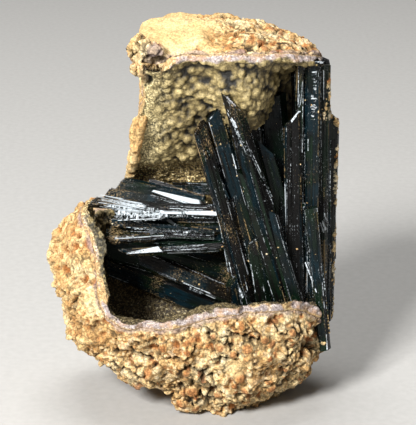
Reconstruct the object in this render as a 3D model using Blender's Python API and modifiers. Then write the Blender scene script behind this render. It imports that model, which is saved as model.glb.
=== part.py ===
"""Vivianite crystals in a broken hollow ironstone nodule.

The nodule stands on its base, +Z up, with its open side towards -Y.  Sizes are
in millimetres here and become metres when a mesh is made.
"""

import math
from collections import namedtuple

import bmesh
import bpy
from mathutils import Matrix, Vector, noise

MM = 0.001

# ---- driving dimensions (mm) ----
TOUCH_GAP = 0.3             # between pieces that touch
CRUST_THICKNESS = 1.9       # lining of the hollow
ROCK_VOXEL = 1.1            # detail kept while the rock is shaped
HOLLOW_VOXEL = 1.6
LINING_VOXEL = 1.3
ROCK_TRIANGLES = 3550
HOLLOW_TRIANGLES = 1000
LINING_TRIANGLES = 3800
FAR = 42.0                  # the hollow's cutter reaches this far past the rock
RING_POINTS = 56
RING_SPACING = 2.0
FOOT_POWER = 2.0            # 2 is an ellipse, larger is squarer
BODY_POWER = 2.6
CORNER_POWER = 9.0          # of the hood's left front corner, which is nearly square
CORNER_FROM = 64.0
CORNER_FULL = 80.0

# Level sections of the whole nodule: height, then left, right, front and back.
NODULE_SECTIONS = (
    (-3.0, 0.0, 18.0, -8.0, 12.0),
    (0.0, -6.0, 23.0, -12.5, 16.0),
    (3.0, -10.0, 27.5, -16.0, 19.0),
    (5.0, -13.5, 29.0, -18.0, 20.0),
    (8.0, -19.0, 30.5, -19.5, 21.5),
    (11.0, -25.0, 31.5, -21.0, 22.5),
    (15.0, -30.5, 32.5, -21.5, 23.5),
    (19.0, -33.3, 33.5, -21.5, 24.0),
    (24.0, -34.7, 34.5, -21.5, 24.5),
    (32.0, -35.5, 35.5, -20.5, 25.0),
    (41.0, -36.0, 36.4, -18.5, 25.0),
    (48.0, -31.0, 36.5, -17.5, 25.0),
    (53.0, -26.5, 36.5, -16.5, 24.5),
    (57.0, -20.5, 36.5, -16.0, 24.0),
    (61.0, -17.5, 36.4, -15.5, 24.0),
    (70.0, -14.0, 35.8, -15.0, 23.5),
    (80.0, -12.6, 34.0, -14.5, 22.5),
    (86.0, -12.8, 32.6, -14.0, 21.6),
    (90.5, -13.8, 30.0, -13.4, 20.0),
    (93.0, -13.5, 23.5, -10.6, 19.0),
    (95.5, -13.6, 16.0, -3.0, 16.0),
    (97.3, -10.5, 9.0, 2.5, 11.0),
)

# The mouth of the hollow: height of its lower edge from right to left.
LOWER_EDGE = (
    (FAR, 31.2),
    (31.0, 31.2),
    (15.5, 31.2),
    (8.5, 30.9),
    (2.6, 30.2),
    (-1.0, 28.6),
    (-8.4, 26.9),
    (-17.3, 27.2),
)
# How the hollow changes with depth: how far back, how far its floor drops below
# the mouth, how far its left wall is cut back, height of the open notch in the
# left wall, how far left the notch reaches, and the roof at the left and right.
HOLLOW_STATIONS = (
    (-FAR, 0.0, 0.0, 55.5, -FAR, 91.4, 90.2),
    (-15.0, 0.0, 0.0, 55.5, -FAR, 91.4, 90.2),
    (-12.5, 1.5, 1.0, 55.5, -FAR, 90.0, 90.0),
    (-10.0, 4.0, 2.5, 55.5, -FAR, 85.5, 89.5),
    (-7.0, 7.0, 4.0, 55.5, -FAR, 77.5, 88.5),
    (-4.0, 9.5, 5.0, 55.5, -FAR, 71.0, 87.5),
    (0.0, 11.5, 4.5, 55.5, -FAR, 65.0, 86.5),
    (4.0, 11.5, 3.5, 55.0, -FAR, 61.0, 85.0),
    (8.0, 9.5, 1.0, 52.0, -30.0, 57.0, 82.0),
    (11.0, 5.0, -3.0, 45.0, -18.0, 50.0, 76.0),
    (13.0, -3.0, -9.0, 38.0, -12.0, 42.0, 64.0),
)
LEFT_WALL = -21.0
ROOF_STEP_FROM = 11.0       # where the roof starts to rise towards the right
ROOF_STEP_TO = 19.0
LIP_DIP = 2.8               # the roof is this much lower at its left end
LIP_LOW_AT = -10.5
LIP_HIGH_AT = -1.0

# Ends, sizes at the root, turn about the length in degrees, slope of the tip,
# width at the tip over that at the root, and the broad face's share of the width.
Blade = namedtuple(
    "Blade",
    "root tip width thickness roll slope taper shoulder",
    defaults=(0.9, 0.62),
)

# Long blades that rise from the lower right and fan out to the left.
UPRIGHT_BLADES = (
    Blade((17.0, -5.0, 16.0), (1.5, -9.0, 73.0), 4.0, 3.4, 18, 0.9),
    Blade((14.5, -5.5, 17.0), (8.0, -6.5, 52.0), 5.4, 3.4, -8, 1.2),
    Blade((21.5, -3.5, 16.0), (4.8, -6.0, 75.8), 5.6, 3.2, 8, 0.7),
    Blade((26.5, -6.0, 18.0), (9.6, -11.7, 79.7), 6.4, 5.4, 4, -1.7, 0.66, 0.12),
    Blade((24.5, -7.0, 18.0), (12.6, -9.0, 61.5), 4.4, 2.6, -12, -0.8),
    Blade((30.0, -2.0, 18.0), (17.4, -2.5, 66.5), 5.0, 3.0, 14, -1.6),
    Blade((28.0, -8.5, 19.0), (18.4, -9.5, 52.5), 3.8, 2.4, 6, -1.0),
    Blade((25.0, 4.5, 17.0), (19.3, 5.5, 77.0), 8.0, 3.2, -6, 0.3),
    Blade((21.0, 2.0, 17.0), (14.2, 3.0, 73.0), 5.6, 3.0, 10, 0.6),
    Blade((26.2, -2.9, 21.0), (25.8, -2.7, 87.5), 2.4, 3.0, 5, 0.2),
    Blade((25.6, -4.2, 18.0), (24.4, -3.2, 74.0), 5.2, 3.2, -10, 1.0),
    Blade((29.4, -2.2, 18.0), (28.6, -1.8, 87.9), 4.8, 4.4, 12, -0.1),
    Blade((32.6, 2.0, 19.0), (31.2, 2.2, 87.2), 5.0, 5.6, -16, -0.4),
    Blade((33.4, 7.5, 18.0), (34.0, 8.0, 72.0), 5.4, 5.6, 10, -0.7),
    Blade((12.0, -6.5, 18.0), (9.4, -8.0, 33.5), 3.8, 2.8, 20, 0.8),
    Blade((19.0, -6.5, 17.0), (14.8, -8.2, 44.0), 4.4, 2.6, -18, 0.6),
    Blade((29.6, 5.0, 17.0), (27.0, 5.5, 84.0), 6.4, 4.0, -8, 0.2),
)
# One blade in front of them, which hangs down past the broken end of the wall.
CORNER_BLADES = (
    Blade((28.6, -7.9, 52.5), (33.0, -8.4, 15.2), 3.4, 2.6, 14, 0.2),
)
# Blades that lie nearly level, from the left lobe to behind the fan.
CROSS_BLADES = (
    Blade((9.5, -3.0, 49.8), (-25.0, -5.0, 53.0), 3.0, 8.4, 20, -0.8),
    Blade((2.0, 0.5, 50.8), (-18.6, -1.0, 56.0), 4.8, 6.0, 24, -0.5),
    Blade((3.0, -1.5, 50.4), (-21.5, -3.0, 54.4), 3.6, 7.0, 22, -0.6),
    Blade((2.8, 0.5, 51.6), (-11.0, 3.0, 55.2), 2.4, 5.2, 26, 0.4),
    Blade((5.5, -2.5, 50.0), (-18.5, -6.5, 50.4), 2.6, 5.4, 16, 0.5),
    Blade((7.5, 4.0, 53.6), (-5.0, 3.0, 54.0), 3.4, 4.6, 12, 0.3),
    Blade((9.0, -1.5, 48.0), (-15.0, -1.0, 48.2), 3.4, 5.0, 6, 0.6),
    Blade((5.0, -3.5, 44.6), (-20.6, -4.0, 47.8), 2.8, 4.6, 10, 0.4),
    Blade((8.5, -2.5, 46.4), (-20.6, -1.5, 45.2), 2.8, 5.0, -8, -0.4),
    Blade((-0.5, -4.5, 44.2), (-21.0, -6.0, 43.4), 2.2, 4.6, 22, 0.6),
    Blade((9.5, -3.5, 42.6), (-13.0, -3.0, 43.4), 3.0, 4.6, -6, 0.2),
    Blade((9.5, -4.5, 41.4), (-16.2, -7.5, 40.5), 2.3, 6.2, 24, 2.4),
)
# Dark wide blades deep in the hollow, under the level ones.
CAVITY_BLADES = (
    Blade((13.0, 3.5, 29.0), (-22.0, 4.5, 38.5), 9.5, 3.2, -6, 0.3),
    Blade((11.0, 1.5, 25.5), (-14.0, 2.4, 36.0), 5.4, 3.0, 8, 0.5),
    Blade((8.0, 6.0, 19.5), (-22.0, 6.4, 32.5), 7.0, 3.2, -10, 0.4),
)
# Each cluster is cut clear of those before it.
CRYSTALS = {
    "upright_crystals": UPRIGHT_BLADES,
    "corner_crystal": CORNER_BLADES,
    "cross_crystals": CROSS_BLADES,
    "cavity_crystals": CAVITY_BLADES,
}
LONGEST_MITRE = 1.2         # a corner moves out by at most this times the distance

# Bits of rock at the top left corner and round pebbles along the foot.
ROCK_KNOBS = (
    ((-12.3, -10.6, 93.2), (3.0, 3.0, 1.8)),
    ((-13.8, -11.8, 91.6), (2.6, 2.4, 1.2)),
    ((-8.9, -13.0, 92.7), (2.5, 2.2, 1.7)),
    ((-12.0, -12.6, 90.0), (1.8, 1.8, 1.3)),
    ((-12.5, -12.9, 88.2), (2.2, 2.1, 2.0)),
    ((-0.8, -16.6, 4.4), (2.4, 2.0, 1.9)),
    ((-3.4, -13.6, 1.9), (2.2, 2.2, 1.8)),
    ((0.4, -13.4, 1.4), (2.2, 2.2, 1.8)),
    ((6.0, -12.4, 1.0), (4.0, 2.6, 2.0)),
)
# Dark gaps between the bits at that corner.
ROCK_GAPS = (
    ((-7.6, -14.2, 89.6), (2.9, 2.8, 1.7)),
    ((-11.4, -14.6, 85.4), (1.4, 1.8, 1.3)),
)
# Boxes by middle, size and turn about Z: the broken right end of the lower wall,
# the broken left side of the hood, and all below the face that it rests on.
RIGHT_BREAK = ((51.0, -22.0, 20.0), (40.0, 34.0, 60.0), -10.0)
LEFT_BREAK = ((-37.6, 20.0, 65.0), (40.0, 40.0, 37.0), 6.0)
HOOD_BREAK = ((-35.2, -3.0, 66.5), (40.0, 8.0, 21.0), 6.0)
GROUND = ((0.0, 0.0, -10.0), (200.0, 200.0, 20.0), 0.0)
# Relief of the rough outside, in mm.  Swells, lumps and pits fade towards the
# top, and the ledges are on the lower wall only.
SWELL_SIZE = 15.0
SWELL_HEIGHT = 1.6
LUMP_SIZE = 6.5
LUMP_HEIGHT = 1.5
PIT_SIZE = 5.0
PIT_SHARE = 0.28            # noise above this makes a pit
PIT_DEPTH = 5.0
LEDGE_SPACING = 9.0
LEDGE_HEIGHT = 0.5
LEDGE_TILT = 0.25
LEDGE_WAVE = 3.0
LEDGES_BELOW = 14.0
LEDGES_END = 34.0
SMOOTH_TOP = 0.55
COARSE_BELOW = 30.0
SMOOTH_ABOVE = 90.0
SINK = 0.3

# Rounded swellings of the lining and one large bulge behind the crystals.
DOME_SPACING = 5.0
DOME_REACH = 0.75           # share of the spacing at which a dome ends
DOME_HEIGHT = 1.6
DOME_SINK = 0.6
BULGE_HEIGHT = 3.6
BULGE_ACROSS = (2.0, 12.0, 19.0, 25.0)
BULGE_UP = (68.0, 74.0, 83.0, 89.0)
HOLLOW_FLOOR_POINTS = 22
HOLLOW_WALL_POINTS = 8
HOLLOW_ROOF_POINTS = 24

LIMONITE_COLOUR = (0.52, 0.33, 0.14)
CRUST_COLOUR = (0.33, 0.27, 0.14)
VIVIANITE_COLOUR = (0.012, 0.02, 0.018)
EARTHY = 0.9                # roughness of each finish
SATIN = 0.7
GLASSY = 0.15


def clear_scene():
    """Remove every object, so that the script can be run again."""
    for item in list(bpy.data.objects):
        bpy.data.objects.remove(item, do_unlink=True)


def new_collection(name):
    """Add a collection to the scene."""
    group = bpy.data.collections.new(name)
    bpy.context.scene.collection.children.link(group)
    return group


def new_object(name, shape, group):
    """Wrap a bmesh as an object in a collection, then free the bmesh."""
    mesh = bpy.data.meshes.new(name)
    shape.to_mesh(mesh)
    shape.free()
    item = bpy.data.objects.new(name, mesh)
    group.objects.link(item)
    return item


def copy_object(item, name):
    """A second object with its own mesh."""
    twin = bpy.data.objects.new(name, item.data.copy())
    item.users_collection[0].objects.link(twin)
    return twin


def apply_modifiers(item):
    """Replace an object's mesh by what its modifiers make of it."""
    graph = bpy.context.evaluated_depsgraph_get()
    mesh = bpy.data.meshes.new_from_object(item.evaluated_get(graph))
    item.modifiers.clear()
    old_mesh = item.data
    item.data = mesh
    bpy.data.meshes.remove(old_mesh)


def combine(item, other, operation, solver="EXACT"):
    """Apply a Boolean of item with other."""
    step = item.modifiers.new(operation.lower(), "BOOLEAN")
    step.operation = operation
    step.solver = solver
    step.object = other
    apply_modifiers(item)


def remesh(item, voxel):
    """Rebuild the surface from cubes of one size, which joins what overlaps."""
    step = item.modifiers.new("remesh", "REMESH")
    step.mode = "VOXEL"
    step.voxel_size = voxel * MM
    apply_modifiers(item)


def smooth(item, factor, repeats):
    """Relax the surface."""
    step = item.modifiers.new("smooth", "SMOOTH")
    step.factor = factor
    step.iterations = repeats
    apply_modifiers(item)


def thin_out(item, triangles):
    """Collapse edges until about this many triangles are left."""
    shape = bmesh.new()
    shape.from_mesh(item.data)
    bmesh.ops.triangulate(shape, faces=shape.faces)
    shape.to_mesh(item.data)
    shape.free()
    step = item.modifiers.new("decimate", "DECIMATE")
    step.ratio = min(1.0, triangles / len(item.data.polygons))
    apply_modifiers(item)


def push_out(item, distance):
    """Move each corner along its normal; distance(point) is in mm."""
    shape = bmesh.new()
    shape.from_mesh(item.data)
    shape.normal_update()
    moves = []
    for vert in shape.verts:
        reach = distance(vert.co / MM)
        mitre = min(LONGEST_MITRE, vert.calc_shell_factor())
        moves.append(vert.normal * (reach * MM * mitre))
    for vert, move in zip(shape.verts, moves):
        vert.co += move
    shape.to_mesh(item.data)
    shape.free()


def keep_largest_body(item):
    """Delete chips that a cut has left loose."""
    shape = bmesh.new()
    shape.from_mesh(item.data)
    unseen = set(shape.verts)
    bodies = []
    while unseen:
        body = {unseen.pop()}
        front = list(body)
        while front:
            vert = front.pop()
            for edge in vert.link_edges:
                other = edge.other_vert(vert)
                if other in unseen:
                    unseen.remove(other)
                    body.add(other)
                    front.append(other)
        bodies.append(body)
    bodies.sort(key=len, reverse=True)
    chips = [vert for body in bodies[1:] for vert in body]
    bmesh.ops.delete(shape, geom=chips, context="VERTS")
    shape.to_mesh(item.data)
    shape.free()


def interpolate(table, key, column):
    """Read a column of a table between its rows, by the first column."""
    if key <= table[0][0]:
        return table[0][column]
    for low, high in zip(table, table[1:]):
        if key <= high[0]:
            share = (key - low[0]) / (high[0] - low[0])
            return low[column] + share * (high[column] - low[column])
    return table[-1][column]


def ease(value, start, end):
    """0 before start, 1 after end, and a smooth rise between."""
    share = min(1.0, max(0.0, (value - start) / (end - start)))
    return share * share * (3.0 - 2.0 * share)


def loft(name, rings, group):
    """Skin a stack of closed rings that have the same number of points."""
    shape = bmesh.new()
    rows = [[shape.verts.new(Vector(point) * MM) for point in ring] for ring in rings]
    count = len(rows[0])
    for low, high in zip(rows, rows[1:]):
        for index in range(count):
            after = (index + 1) % count
            shape.faces.new((low[index], low[after], high[after], high[index]))
    shape.faces.new(reversed(rows[0]))
    shape.faces.new(rows[-1])
    bmesh.ops.recalc_face_normals(shape, faces=shape.faces)
    return new_object(name, shape, group)


def nodule_ring(height):
    """One level section of the nodule, a squared-off oval with one squarer corner."""
    left, right, front, back = (
        interpolate(NODULE_SECTIONS, height, column) for column in (1, 2, 3, 4)
    )
    middle = Vector(((left + right) / 2, (front + back) / 2, height))
    body = FOOT_POWER + (BODY_POWER - FOOT_POWER) * ease(height, 2.0, 20.0)
    corner = body + (CORNER_POWER - body) * ease(height, CORNER_FROM, CORNER_FULL)
    ring = []
    for index in range(RING_POINTS):
        turn = math.tau * index / RING_POINTS
        power = corner if math.pi < turn < 1.5 * math.pi else body
        across = math.copysign(abs(math.cos(turn)) ** (2 / power), math.cos(turn))
        along = math.copysign(abs(math.sin(turn)) ** (2 / power), math.sin(turn))
        offset = Vector((across * (right - left) / 2, along * (back - front) / 2, 0))
        ring.append(middle + offset)
    return ring


def add_balls(item, balls):
    """Set stretched balls into an object's mesh: centre, then radii."""
    shape = bmesh.new()
    shape.from_mesh(item.data)
    for centre, radii in balls:
        stretch = Matrix.Diagonal((*(radius * MM for radius in radii), 1.0))
        place = Matrix.Translation(Vector(centre) * MM) @ stretch
        bmesh.ops.create_icosphere(shape, subdivisions=2, radius=1.0, matrix=place)
    shape.to_mesh(item.data)
    shape.free()


def rock_relief(point):
    """Swells, ledges and pits of the rough outside, coarser towards the base."""
    smoothing = SMOOTH_TOP * ease(point.z, COARSE_BELOW, SMOOTH_ABOVE)
    swell = SWELL_HEIGHT * noise.noise(point / SWELL_SIZE)
    lump = LUMP_HEIGHT * noise.noise(point / LUMP_SIZE + Vector((7.0, 3.0, 1.0)))
    pit = max(0.0, noise.noise(point / PIT_SIZE + Vector((1.0, 9.0, 5.0))) - PIT_SHARE)
    level = point.z + LEDGE_TILT * point.x + LEDGE_WAVE * noise.noise(point / 20.0)
    ledge = LEDGE_HEIGHT * math.sin(math.tau * level / LEDGE_SPACING)
    ledge *= 1.0 - ease(point.z, LEDGES_BELOW, LEDGES_END)
    return (1.0 - smoothing) * (swell + lump - PIT_DEPTH * pit) + ledge - SINK


def make_nodule():
    """The whole nodule before its hollow is cut: body, knobs and pebbles."""
    low = NODULE_SECTIONS[0][0]
    high = NODULE_SECTIONS[-1][0]
    count = round((high - low) / RING_SPACING)
    heights = [low + (high - low) * index / count for index in range(count + 1)]
    nodule = loft("nodule", [nodule_ring(height) for height in heights], cutters)
    add_balls(nodule, ROCK_KNOBS)
    remesh(nodule, ROCK_VOXEL)
    smooth(nodule, 0.5, 3)
    push_out(nodule, rock_relief)
    thin_out(nodule, ROCK_TRIANGLES)
    gaps = new_object("gaps", bmesh.new(), cutters)
    add_balls(gaps, ROCK_GAPS)
    combine(nodule, gaps, "DIFFERENCE")
    combine(nodule, box("right_break", RIGHT_BREAK, cutters), "DIFFERENCE")
    combine(nodule, box("left_break", LEFT_BREAK, cutters), "DIFFERENCE")
    combine(nodule, box("hood_break", HOOD_BREAK, cutters), "DIFFERENCE")
    combine(nodule, box("ground", GROUND, cutters), "DIFFERENCE")
    return nodule


def box(name, place, group):
    """A box from its middle, size and turn about Z."""
    middle, size, turn = place
    shape = bmesh.new()
    bmesh.ops.create_cube(shape, size=1.0)
    stretch = Matrix.Diagonal((*(side * MM for side in size), 1.0))
    spin = Matrix.Rotation(math.radians(turn), 4, "Z")
    bmesh.ops.transform(
        shape,
        matrix=Matrix.Translation(Vector(middle) * MM) @ spin @ stretch,
        verts=shape.verts,
    )
    return new_object(name, shape, group)


def hollow_ring(station):
    """The hollow's outline at one depth, seen from the front."""
    depth, drop, set_back, notch, reach, roof_left, roof_right = station
    left = LEFT_WALL - set_back
    edge = tuple(sorted(LOWER_EDGE))
    ring = []
    for index in range(HOLLOW_FLOOR_POINTS):
        share = index / (HOLLOW_FLOOR_POINTS - 1)
        across = FAR + (left + 4.0 - FAR) * share
        ring.append((across, depth, interpolate(edge, across, 1) - drop))
    floor_left = ring[-1][2]
    ring.append((left + 1.2, depth, floor_left + 1.5))
    for index in range(HOLLOW_WALL_POINTS):
        share = index / (HOLLOW_WALL_POINTS - 1)
        height = floor_left + 4.0 + (notch - 1.5 - floor_left - 4.0) * share
        ring.append((left, depth, height))
    ring.append((reach, depth, notch + 0.5))
    ring.append((reach, depth, roof_left))
    for index in range(HOLLOW_ROOF_POINTS):
        share = index / (HOLLOW_ROOF_POINTS - 1)
        across = max(reach, left) + (FAR - max(reach, left)) * share
        rise = ease(across, ROOF_STEP_FROM, ROOF_STEP_TO)
        dip = LIP_DIP * (1.0 - ease(across, LIP_LOW_AT, LIP_HIGH_AT))
        height = roof_left + (roof_right - roof_left) * rise - dip
        ring.append((across, depth, max(height, notch + 2.0)))
    return ring


def make_hollow():
    """The cutter of the hollow, rounded, in many small faces."""
    hollow = loft("hollow", [hollow_ring(station) for station in HOLLOW_STATIONS], cutters)
    remesh(hollow, HOLLOW_VOXEL)
    smooth(hollow, 0.5, 6)
    return hollow


def plateau(value, start, full, fade, end):
    """A smooth rise from start to full and a smooth fall from fade to end."""
    return ease(value, start, full) * (1.0 - ease(value, fade, end))


def lining_relief(point):
    """Rounded swellings of the crust, which stand into the hollow."""
    cell = noise.voronoi(point / DOME_SPACING, distance_metric="DISTANCE")[0]
    dome = max(0.0, 1.0 - (cell[0] / DOME_REACH) ** 2)
    bulge = plateau(point.x, *BULGE_ACROSS) * plateau(point.z, *BULGE_UP)
    return DOME_SINK - DOME_HEIGHT * dome - BULGE_HEIGHT * bulge


def blade(item, grow):
    """One flattened six-sided blade from its root to its slanted tip."""
    root = Vector(item.root)
    tip = Vector(item.tip)
    axis = (tip - root).normalized()
    across = Vector((0.0, 1.0, 0.0)).cross(axis).normalized()
    across = Matrix.Rotation(math.radians(item.roll), 3, axis) @ across
    through = axis.cross(across)
    half_width = item.width / 2 + grow
    half_thickness = item.thickness / 2 + grow
    shape = bmesh.new()
    bmesh.ops.create_cone(
        shape, cap_ends=True, segments=6, radius1=1.0, radius2=1.0, depth=2.0
    )
    length = (tip - root).length
    for vert in shape.verts:
        # Two of the six corners are the sharp sides, four bound the broad faces.
        on_side = abs(vert.co.y) > 0.9
        share = 1.0 if on_side else item.shoulder
        width = math.copysign(share * half_width, vert.co.y)
        depth = 0.0 if on_side else math.copysign(half_thickness, vert.co.x)
        along = -grow
        if vert.co.z > 0:
            width *= item.taper
            along = length + grow + item.slope * width
        offset = across * width + through * depth + axis * along
        vert.co = (root + offset) * MM
    shape.normal_update()
    bmesh.ops.recalc_face_normals(shape, faces=shape.faces)
    return new_object("blade", shape, cutters)


def make_cluster(name, blades, grow, group):
    """Overlapping blades joined in one solid.

    Some blades nearly share a plane, where the exact solver can drop one of
    them, so the manifold solver joins them.
    """
    cluster = blade(blades[0], grow)
    for item in blades[1:]:
        other = blade(item, grow)
        combine(cluster, other, "UNION", "MANIFOLD")
        bpy.data.objects.remove(other, do_unlink=True)
    cluster.name = name
    cutters.objects.unlink(cluster)
    group.objects.link(cluster)
    return cluster


def finish(item, label, colour, roughness):
    """Give a piece its own material and flat shading."""
    material = bpy.data.materials.new(label)
    material.use_nodes = True
    surface = material.node_tree.nodes["Principled BSDF"]
    surface.inputs["Base Color"].default_value = (*colour, 1.0)
    surface.inputs["Roughness"].default_value = roughness
    surface.inputs["Metallic"].default_value = 0.0
    item.data.materials.clear()
    item.data.materials.append(material)
    item.data.shade_flat()


def make_specimen():
    """Rock, crust and crystals, each cut clear of the others."""
    nodule = make_nodule()
    hollow = make_hollow()

    lining = copy_object(hollow, "lining")
    push_out(lining, lining_relief)
    remesh(lining, LINING_VOXEL)
    thin_out(lining, LINING_TRIANGLES)
    crust_hollow = hollow
    push_out(crust_hollow, lambda point: CRUST_THICKNESS)
    remesh(crust_hollow, HOLLOW_VOXEL)
    thin_out(crust_hollow, HOLLOW_TRIANGLES)
    matrix_hollow = copy_object(crust_hollow, "matrix_hollow")
    push_out(matrix_hollow, lambda point: TOUCH_GAP)

    rooms = []
    for name, blades in CRYSTALS.items():
        cluster = make_cluster(name, blades, 0.0, model)
        for room in rooms:
            combine(cluster, room, "DIFFERENCE")
        keep_largest_body(cluster)
        finish(cluster, name, VIVIANITE_COLOUR, GLASSY)
        rooms.append(make_cluster(name + "_room", blades, TOUCH_GAP, cutters))

    matrix = copy_object(nodule, "limonite_matrix")
    cutters.objects.unlink(matrix)
    model.objects.link(matrix)
    combine(matrix, matrix_hollow, "DIFFERENCE")
    crust = nodule
    crust.name = "botryoidal_crust"
    cutters.objects.unlink(crust)
    model.objects.link(crust)
    combine(crust, crust_hollow, "INTERSECT")
    combine(crust, lining, "DIFFERENCE")
    for item in (matrix, crust):
        for room in rooms:
            combine(item, room, "DIFFERENCE")
        keep_largest_body(item)

    finish(matrix, "limonite", LIMONITE_COLOUR, EARTHY)
    finish(crust, "lining_crust", CRUST_COLOUR, SATIN)


def centre_over_origin(items):
    """Move the pieces so that the middle of their common box is over the origin."""
    corners = [Vector(corner) for item in items for corner in item.bound_box]
    low = Vector(min(corner[axis] for corner in corners) for axis in range(3))
    high = Vector(max(corner[axis] for corner in corners) for axis in range(3))
    middle = (low + high) / 2
    for item in items:
        item.data.transform(Matrix.Translation((-middle.x, -middle.y, 0.0)))


clear_scene()
model = new_collection("vivianite_specimen")
cutters = new_collection("cutters")
make_specimen()
centre_over_origin(model.objects)
for helper in cutters.objects:
    helper.hide_render = True
    helper.display_type = "WIRE"
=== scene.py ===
# %% [markdown]
# # A vivianite specimen from a hollow ironstone nodule
# The CAD model gives six solids: the rock, the lumpy crust that lines its hollow,
# and four groups of crystals. They are plain, with ten thousand flat triangles in
# all, and this lesson dresses them. Rock and crust are rebuilt on a fine grid, and
# their grains are pushed out point by point. The crystals keep their flat faces and
# gain the thin growth steps that make vivianite flash.

# %% Load the frame
import math
import random

import bmesh
import bpy
import numpy as np
from mathutils import Matrix, Vector, noise
from mathutils.bvhtree import BVHTree


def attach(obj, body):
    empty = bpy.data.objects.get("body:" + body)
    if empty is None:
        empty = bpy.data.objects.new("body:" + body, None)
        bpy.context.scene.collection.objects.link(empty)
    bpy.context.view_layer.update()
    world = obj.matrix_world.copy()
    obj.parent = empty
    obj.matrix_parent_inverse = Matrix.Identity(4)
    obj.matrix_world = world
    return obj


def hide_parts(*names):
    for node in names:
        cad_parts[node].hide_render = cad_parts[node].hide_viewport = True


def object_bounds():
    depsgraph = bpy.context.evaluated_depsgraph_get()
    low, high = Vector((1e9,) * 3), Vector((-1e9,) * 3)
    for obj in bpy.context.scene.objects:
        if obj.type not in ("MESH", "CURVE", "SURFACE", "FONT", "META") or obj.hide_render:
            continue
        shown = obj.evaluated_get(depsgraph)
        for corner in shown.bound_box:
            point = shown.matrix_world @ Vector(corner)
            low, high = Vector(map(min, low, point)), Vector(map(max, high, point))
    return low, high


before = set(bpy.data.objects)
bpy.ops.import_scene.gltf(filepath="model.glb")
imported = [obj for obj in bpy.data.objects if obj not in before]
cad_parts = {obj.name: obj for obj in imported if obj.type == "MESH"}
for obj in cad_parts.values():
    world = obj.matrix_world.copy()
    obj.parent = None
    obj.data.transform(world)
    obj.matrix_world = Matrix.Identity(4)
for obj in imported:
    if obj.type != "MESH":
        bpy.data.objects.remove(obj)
cad_low, cad_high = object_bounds()
MM = 0.001
print("nodes:", ", ".join(sorted(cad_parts)))
print("size in mm:", [round((high - low) / MM, 1) for low, high in zip(cad_low, cad_high)])

# %% [markdown]
# ## Small helpers
# Colours are picked as sRGB hex values, as in any paint program, and shaders want
# linear numbers, so one function turns the first into the second. Another adds a
# node: its settings, values and links are all in one call, which keeps a material
# as short as a recipe. Texture sizes are easiest to think of in millimetres.


# %% Colours and nodes
def linear(code):
    """The linear RGBA of an sRGB hex colour."""
    values = [int(code[start:start + 2], 16) / 255 for start in (1, 3, 5)]
    curve = [v / 12.92 if v <= 0.04045 else ((v + 0.055) / 1.055) ** 2.4 for v in values]
    return (*curve, 1.0)


def per_metre(size):
    """The texture scale whose features are this many millimetres across."""
    return 1.0 / (size * MM)


def add_node(tree, kind, inputs=None, **settings):
    """Add a node, set its properties, and fill its sockets with values or links."""
    node = tree.nodes.new(kind)
    for name, value in settings.items():
        setattr(node, name, value)
    for name, value in (inputs or {}).items():
        if isinstance(value, bpy.types.NodeSocket):
            tree.links.new(value, node.inputs[name])
        else:
            node.inputs[name].default_value = value
    return node


# A colour Mix node's sockets by number, because three sets of them share names.
MIX = "ShaderNodeMix"
FACTOR, FIRST, SECOND, MIXED = 0, 6, 7, 2


def fill_ramp(node, stops):
    """Set a colour ramp from (position, hex colour) pairs and return its output."""
    ramp = node.color_ramp
    while len(ramp.elements) > 1:
        ramp.elements.remove(ramp.elements[-1])
    ramp.elements[0].position = stops[0][0]
    ramp.elements[0].color = linear(stops[0][1])
    for position, code in stops[1:]:
        ramp.elements.new(position).color = linear(code)
    return node.outputs["Color"]


def new_material(name):
    """An empty material with a Principled shader: the material, its tree, the shader."""
    material = bpy.data.materials.new(name)
    material.use_nodes = True
    tree = material.node_tree
    tree.nodes.clear()
    shader = add_node(tree, "ShaderNodeBsdfPrincipled")
    add_node(tree, "ShaderNodeOutputMaterial", {"Surface": shader.outputs["BSDF"]})
    return material, tree, shader


print("ochre, #DAAF74, in linear light:", [round(value, 3) for value in linear("#DAAF74")])


# %% [markdown]
# ## A fine grid on each solid
# A voxel remesh covers a solid in small squares of one size, which gives the points
# that the grains need. Where nothing will ever be seen, such as the side of the
# rock that lies behind the crust, those squares are a waste, so Decimate thins them
# out. It takes a vertex group: a weight of 0 protects a point.


# %% Rebuild a solid on a fine grid
def apply_modifiers(item):
    """Replace an object's mesh by what its modifiers make of it."""
    graph = bpy.context.evaluated_depsgraph_get()
    mesh = bpy.data.meshes.new_from_object(item.evaluated_get(graph))
    item.modifiers.clear()
    item.data = mesh


def new_piece(name, mesh):
    """Put a mesh in the scene as an object of that name."""
    piece = bpy.data.objects.new(name, mesh)
    bpy.context.scene.collection.objects.link(piece)
    return piece


def fine_copy(node, name, grid, relax, lumps=()):
    """A copy of a CAD solid on a grid of that many mm, with its creases relaxed.
    Lumps, as centres and radii in mm, become one with it."""
    shape = bmesh.new()
    shape.from_mesh(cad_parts[node].data)
    for centre, radii in lumps:
        stretch = Matrix.Diagonal((*(radius * MM for radius in radii), 1.0))
        place = Matrix.Translation(Vector(centre) * MM) @ stretch
        bmesh.ops.create_icosphere(shape, subdivisions=3, radius=1.0, matrix=place)
    mesh = bpy.data.meshes.new(name)
    shape.to_mesh(mesh)
    shape.free()
    piece = new_piece(name, mesh)
    rebuild = piece.modifiers.new("rebuild", "REMESH")
    rebuild.mode = "VOXEL"
    rebuild.voxel_size = grid * MM
    soften = piece.modifiers.new("soften", "SMOOTH")
    soften.factor = 0.5
    soften.iterations = relax
    apply_modifiers(piece)
    return piece


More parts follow.
